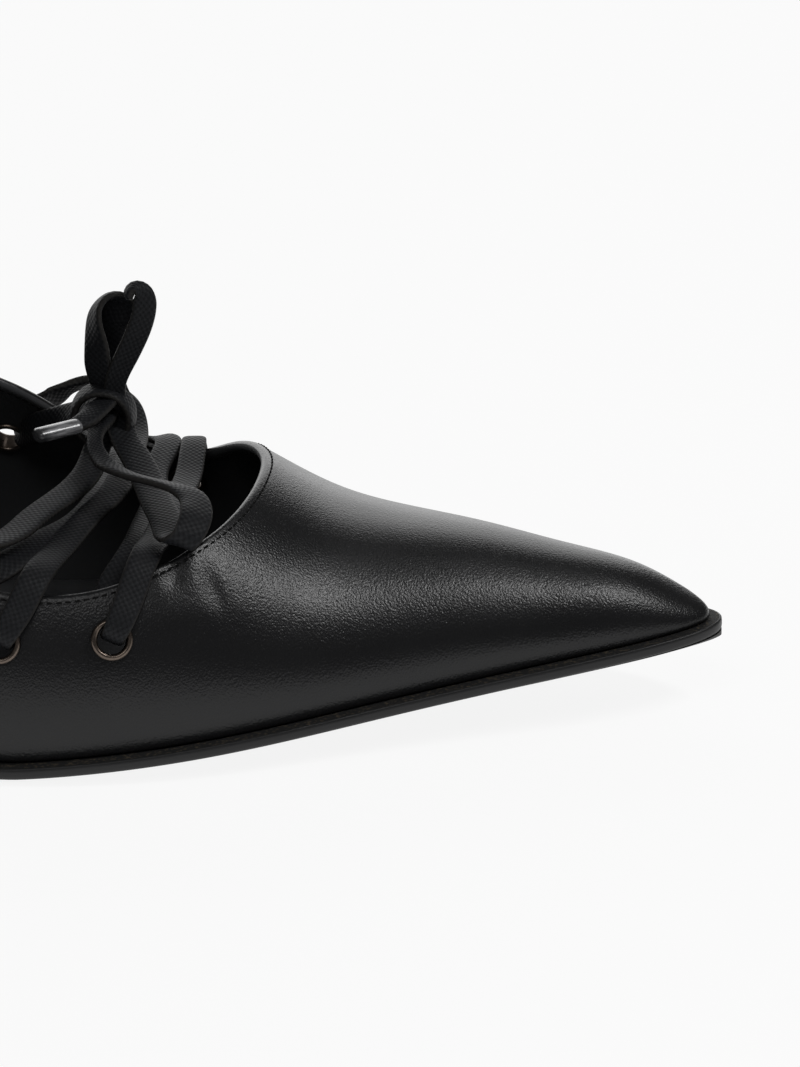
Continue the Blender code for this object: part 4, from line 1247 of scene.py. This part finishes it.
# %% The insole
INSOLE_THICKNESS = 2.2 * MM
INSOLE_TOE_GAP = 9 * MM
INSOLE_INSET = WALL + FIT + 1.0 * MM
INSOLE_RINGS, INSOLE_SIDES = 180, 48
INSOLE_POWER = 0.35


def make_insole():
    """A thin sheet inside the wall; its edge is rounded and its top rises slightly to the middle."""
    turns = np.linspace(0, turn(along(TIP_X - INSOLE_TOE_GAP)), INSOLE_RINGS)
    inset = np.full(len(turns), -INSOLE_INSET)
    lateral, medial = footprint(turns, -1, inset), footprint(turns, 1, inset)
    across, up = superellipse(full_turn(INSOLE_SIDES), INSOLE_POWER, INSOLE_POWER)
    share = (across[:, None] + 1) / 2
    plan = lateral[:, None] * (1 - share) + medial[:, None] * share
    height = sole_top(plan[..., 0]) + BED_GAP + INSOLE_THICKNESS * (1 + up) / 2
    return closed_loft("sock", np.dstack([plan, height]), lining, ["insole"])


make_insole()

# %% [markdown]
# ## Floor and light
# The photograph is a plain white studio picture with soft light. A long box high over the toe,
# turned askew, draws the bright band along the shoulder of the vamp. A weaker one in front lights
# the near side, and a faint strip lights the far side of the toe. A white wall behind the shoe
# gives its upper outline a pale rim. The floor is nearly white, so that little shadow shows.

# %% Floor and light
FLOOR_REACH = 2.5
FLOOR_GREY = 0.14
FLOOR_GLOW = 0.88
WORLD_LIGHT = 0.09
SOFTBOXES = (
    # name, place, the point it faces, size, brightness, roll in degrees
    ("top_box", (0.84, -0.12, 1.23), (0.05, 0, 0.03), (0.52, 0.20), 20.0, 72),
    ("front_box", (-0.1, -1.1, 1.3), (0.0, 0, 0.03), (0.9, 0.5), 2.6, 0),
    ("toe_strip", (0.45, 0.30, 1.23), (0.05, 0, 0.03), (0.5, 0.18), 1.5, 0),
    ("wall_behind", (-0.8, 1.6, 0.6), (-0.8, 0, 0.6), (2.6, 1.2), 1.8, 0),
)


def make_floor():
    """A pale sheet that glows a little, so that it comes out nearly white under soft light."""
    corners = np.array([(-1, -1, 0), (1, -1, 0), (1, 1, 0), (-1, 1, 0)]) * FLOOR_REACH
    mesh = bpy.data.meshes.new("floor")
    mesh.from_pydata(corners.tolist(), [], [(0, 1, 2, 3)])
    white = new_finish("floor_white", (FLOOR_GREY,) * 3, 0.9, Specular_IOR_Level=0.0)
    shader = white.node_tree.nodes["Principled BSDF"]
    shader.inputs["Emission Color"].default_value = (1, 1, 1, 1)
    shader.inputs["Emission Strength"].default_value = FLOOR_GLOW
    mesh.materials.append(white)
    floor = bpy.data.objects.new("floor", mesh)
    bpy.context.scene.collection.objects.link(floor)


def add_softbox(name, place, target, size, brightness, roll):
    """A rectangle of light that faces a point; its power follows from its area and brightness."""
    light = bpy.data.lights.new(name, "AREA")
    light.shape = "RECTANGLE"
    light.size, light.size_y = size
    light.energy = brightness * np.pi * size[0] * size[1]
    lamp = bpy.data.objects.new(name, light)
    away = unit(np.array(place) - np.array(target))
    right = unit(np.cross([0, 0, 1], away))
    roll = np.radians(roll)
    right = right * np.cos(roll) + np.cross(away, right) * np.sin(roll)
    turned = np.eye(4)
    turned[:3, :3] = np.stack([right, np.cross(away, right), away], 1)
    turned[:3, 3] = place
    lamp.matrix_world = Matrix(turned.tolist())
    bpy.context.scene.collection.objects.link(lamp)


make_floor()
for box in SOFTBOXES:
    add_softbox(*box)
world = bpy.data.worlds.new("studio")
world.use_nodes = True
sky = world.node_tree.nodes["Background"]
sky.inputs["Color"].default_value = (1, 1, 1, 1)
sky.inputs["Strength"].default_value = WORLD_LIGHT
bpy.context.scene.world = world
bpy.context.scene.view_settings.view_transform = "Standard"
print("lamps:", len(bpy.data.lights))
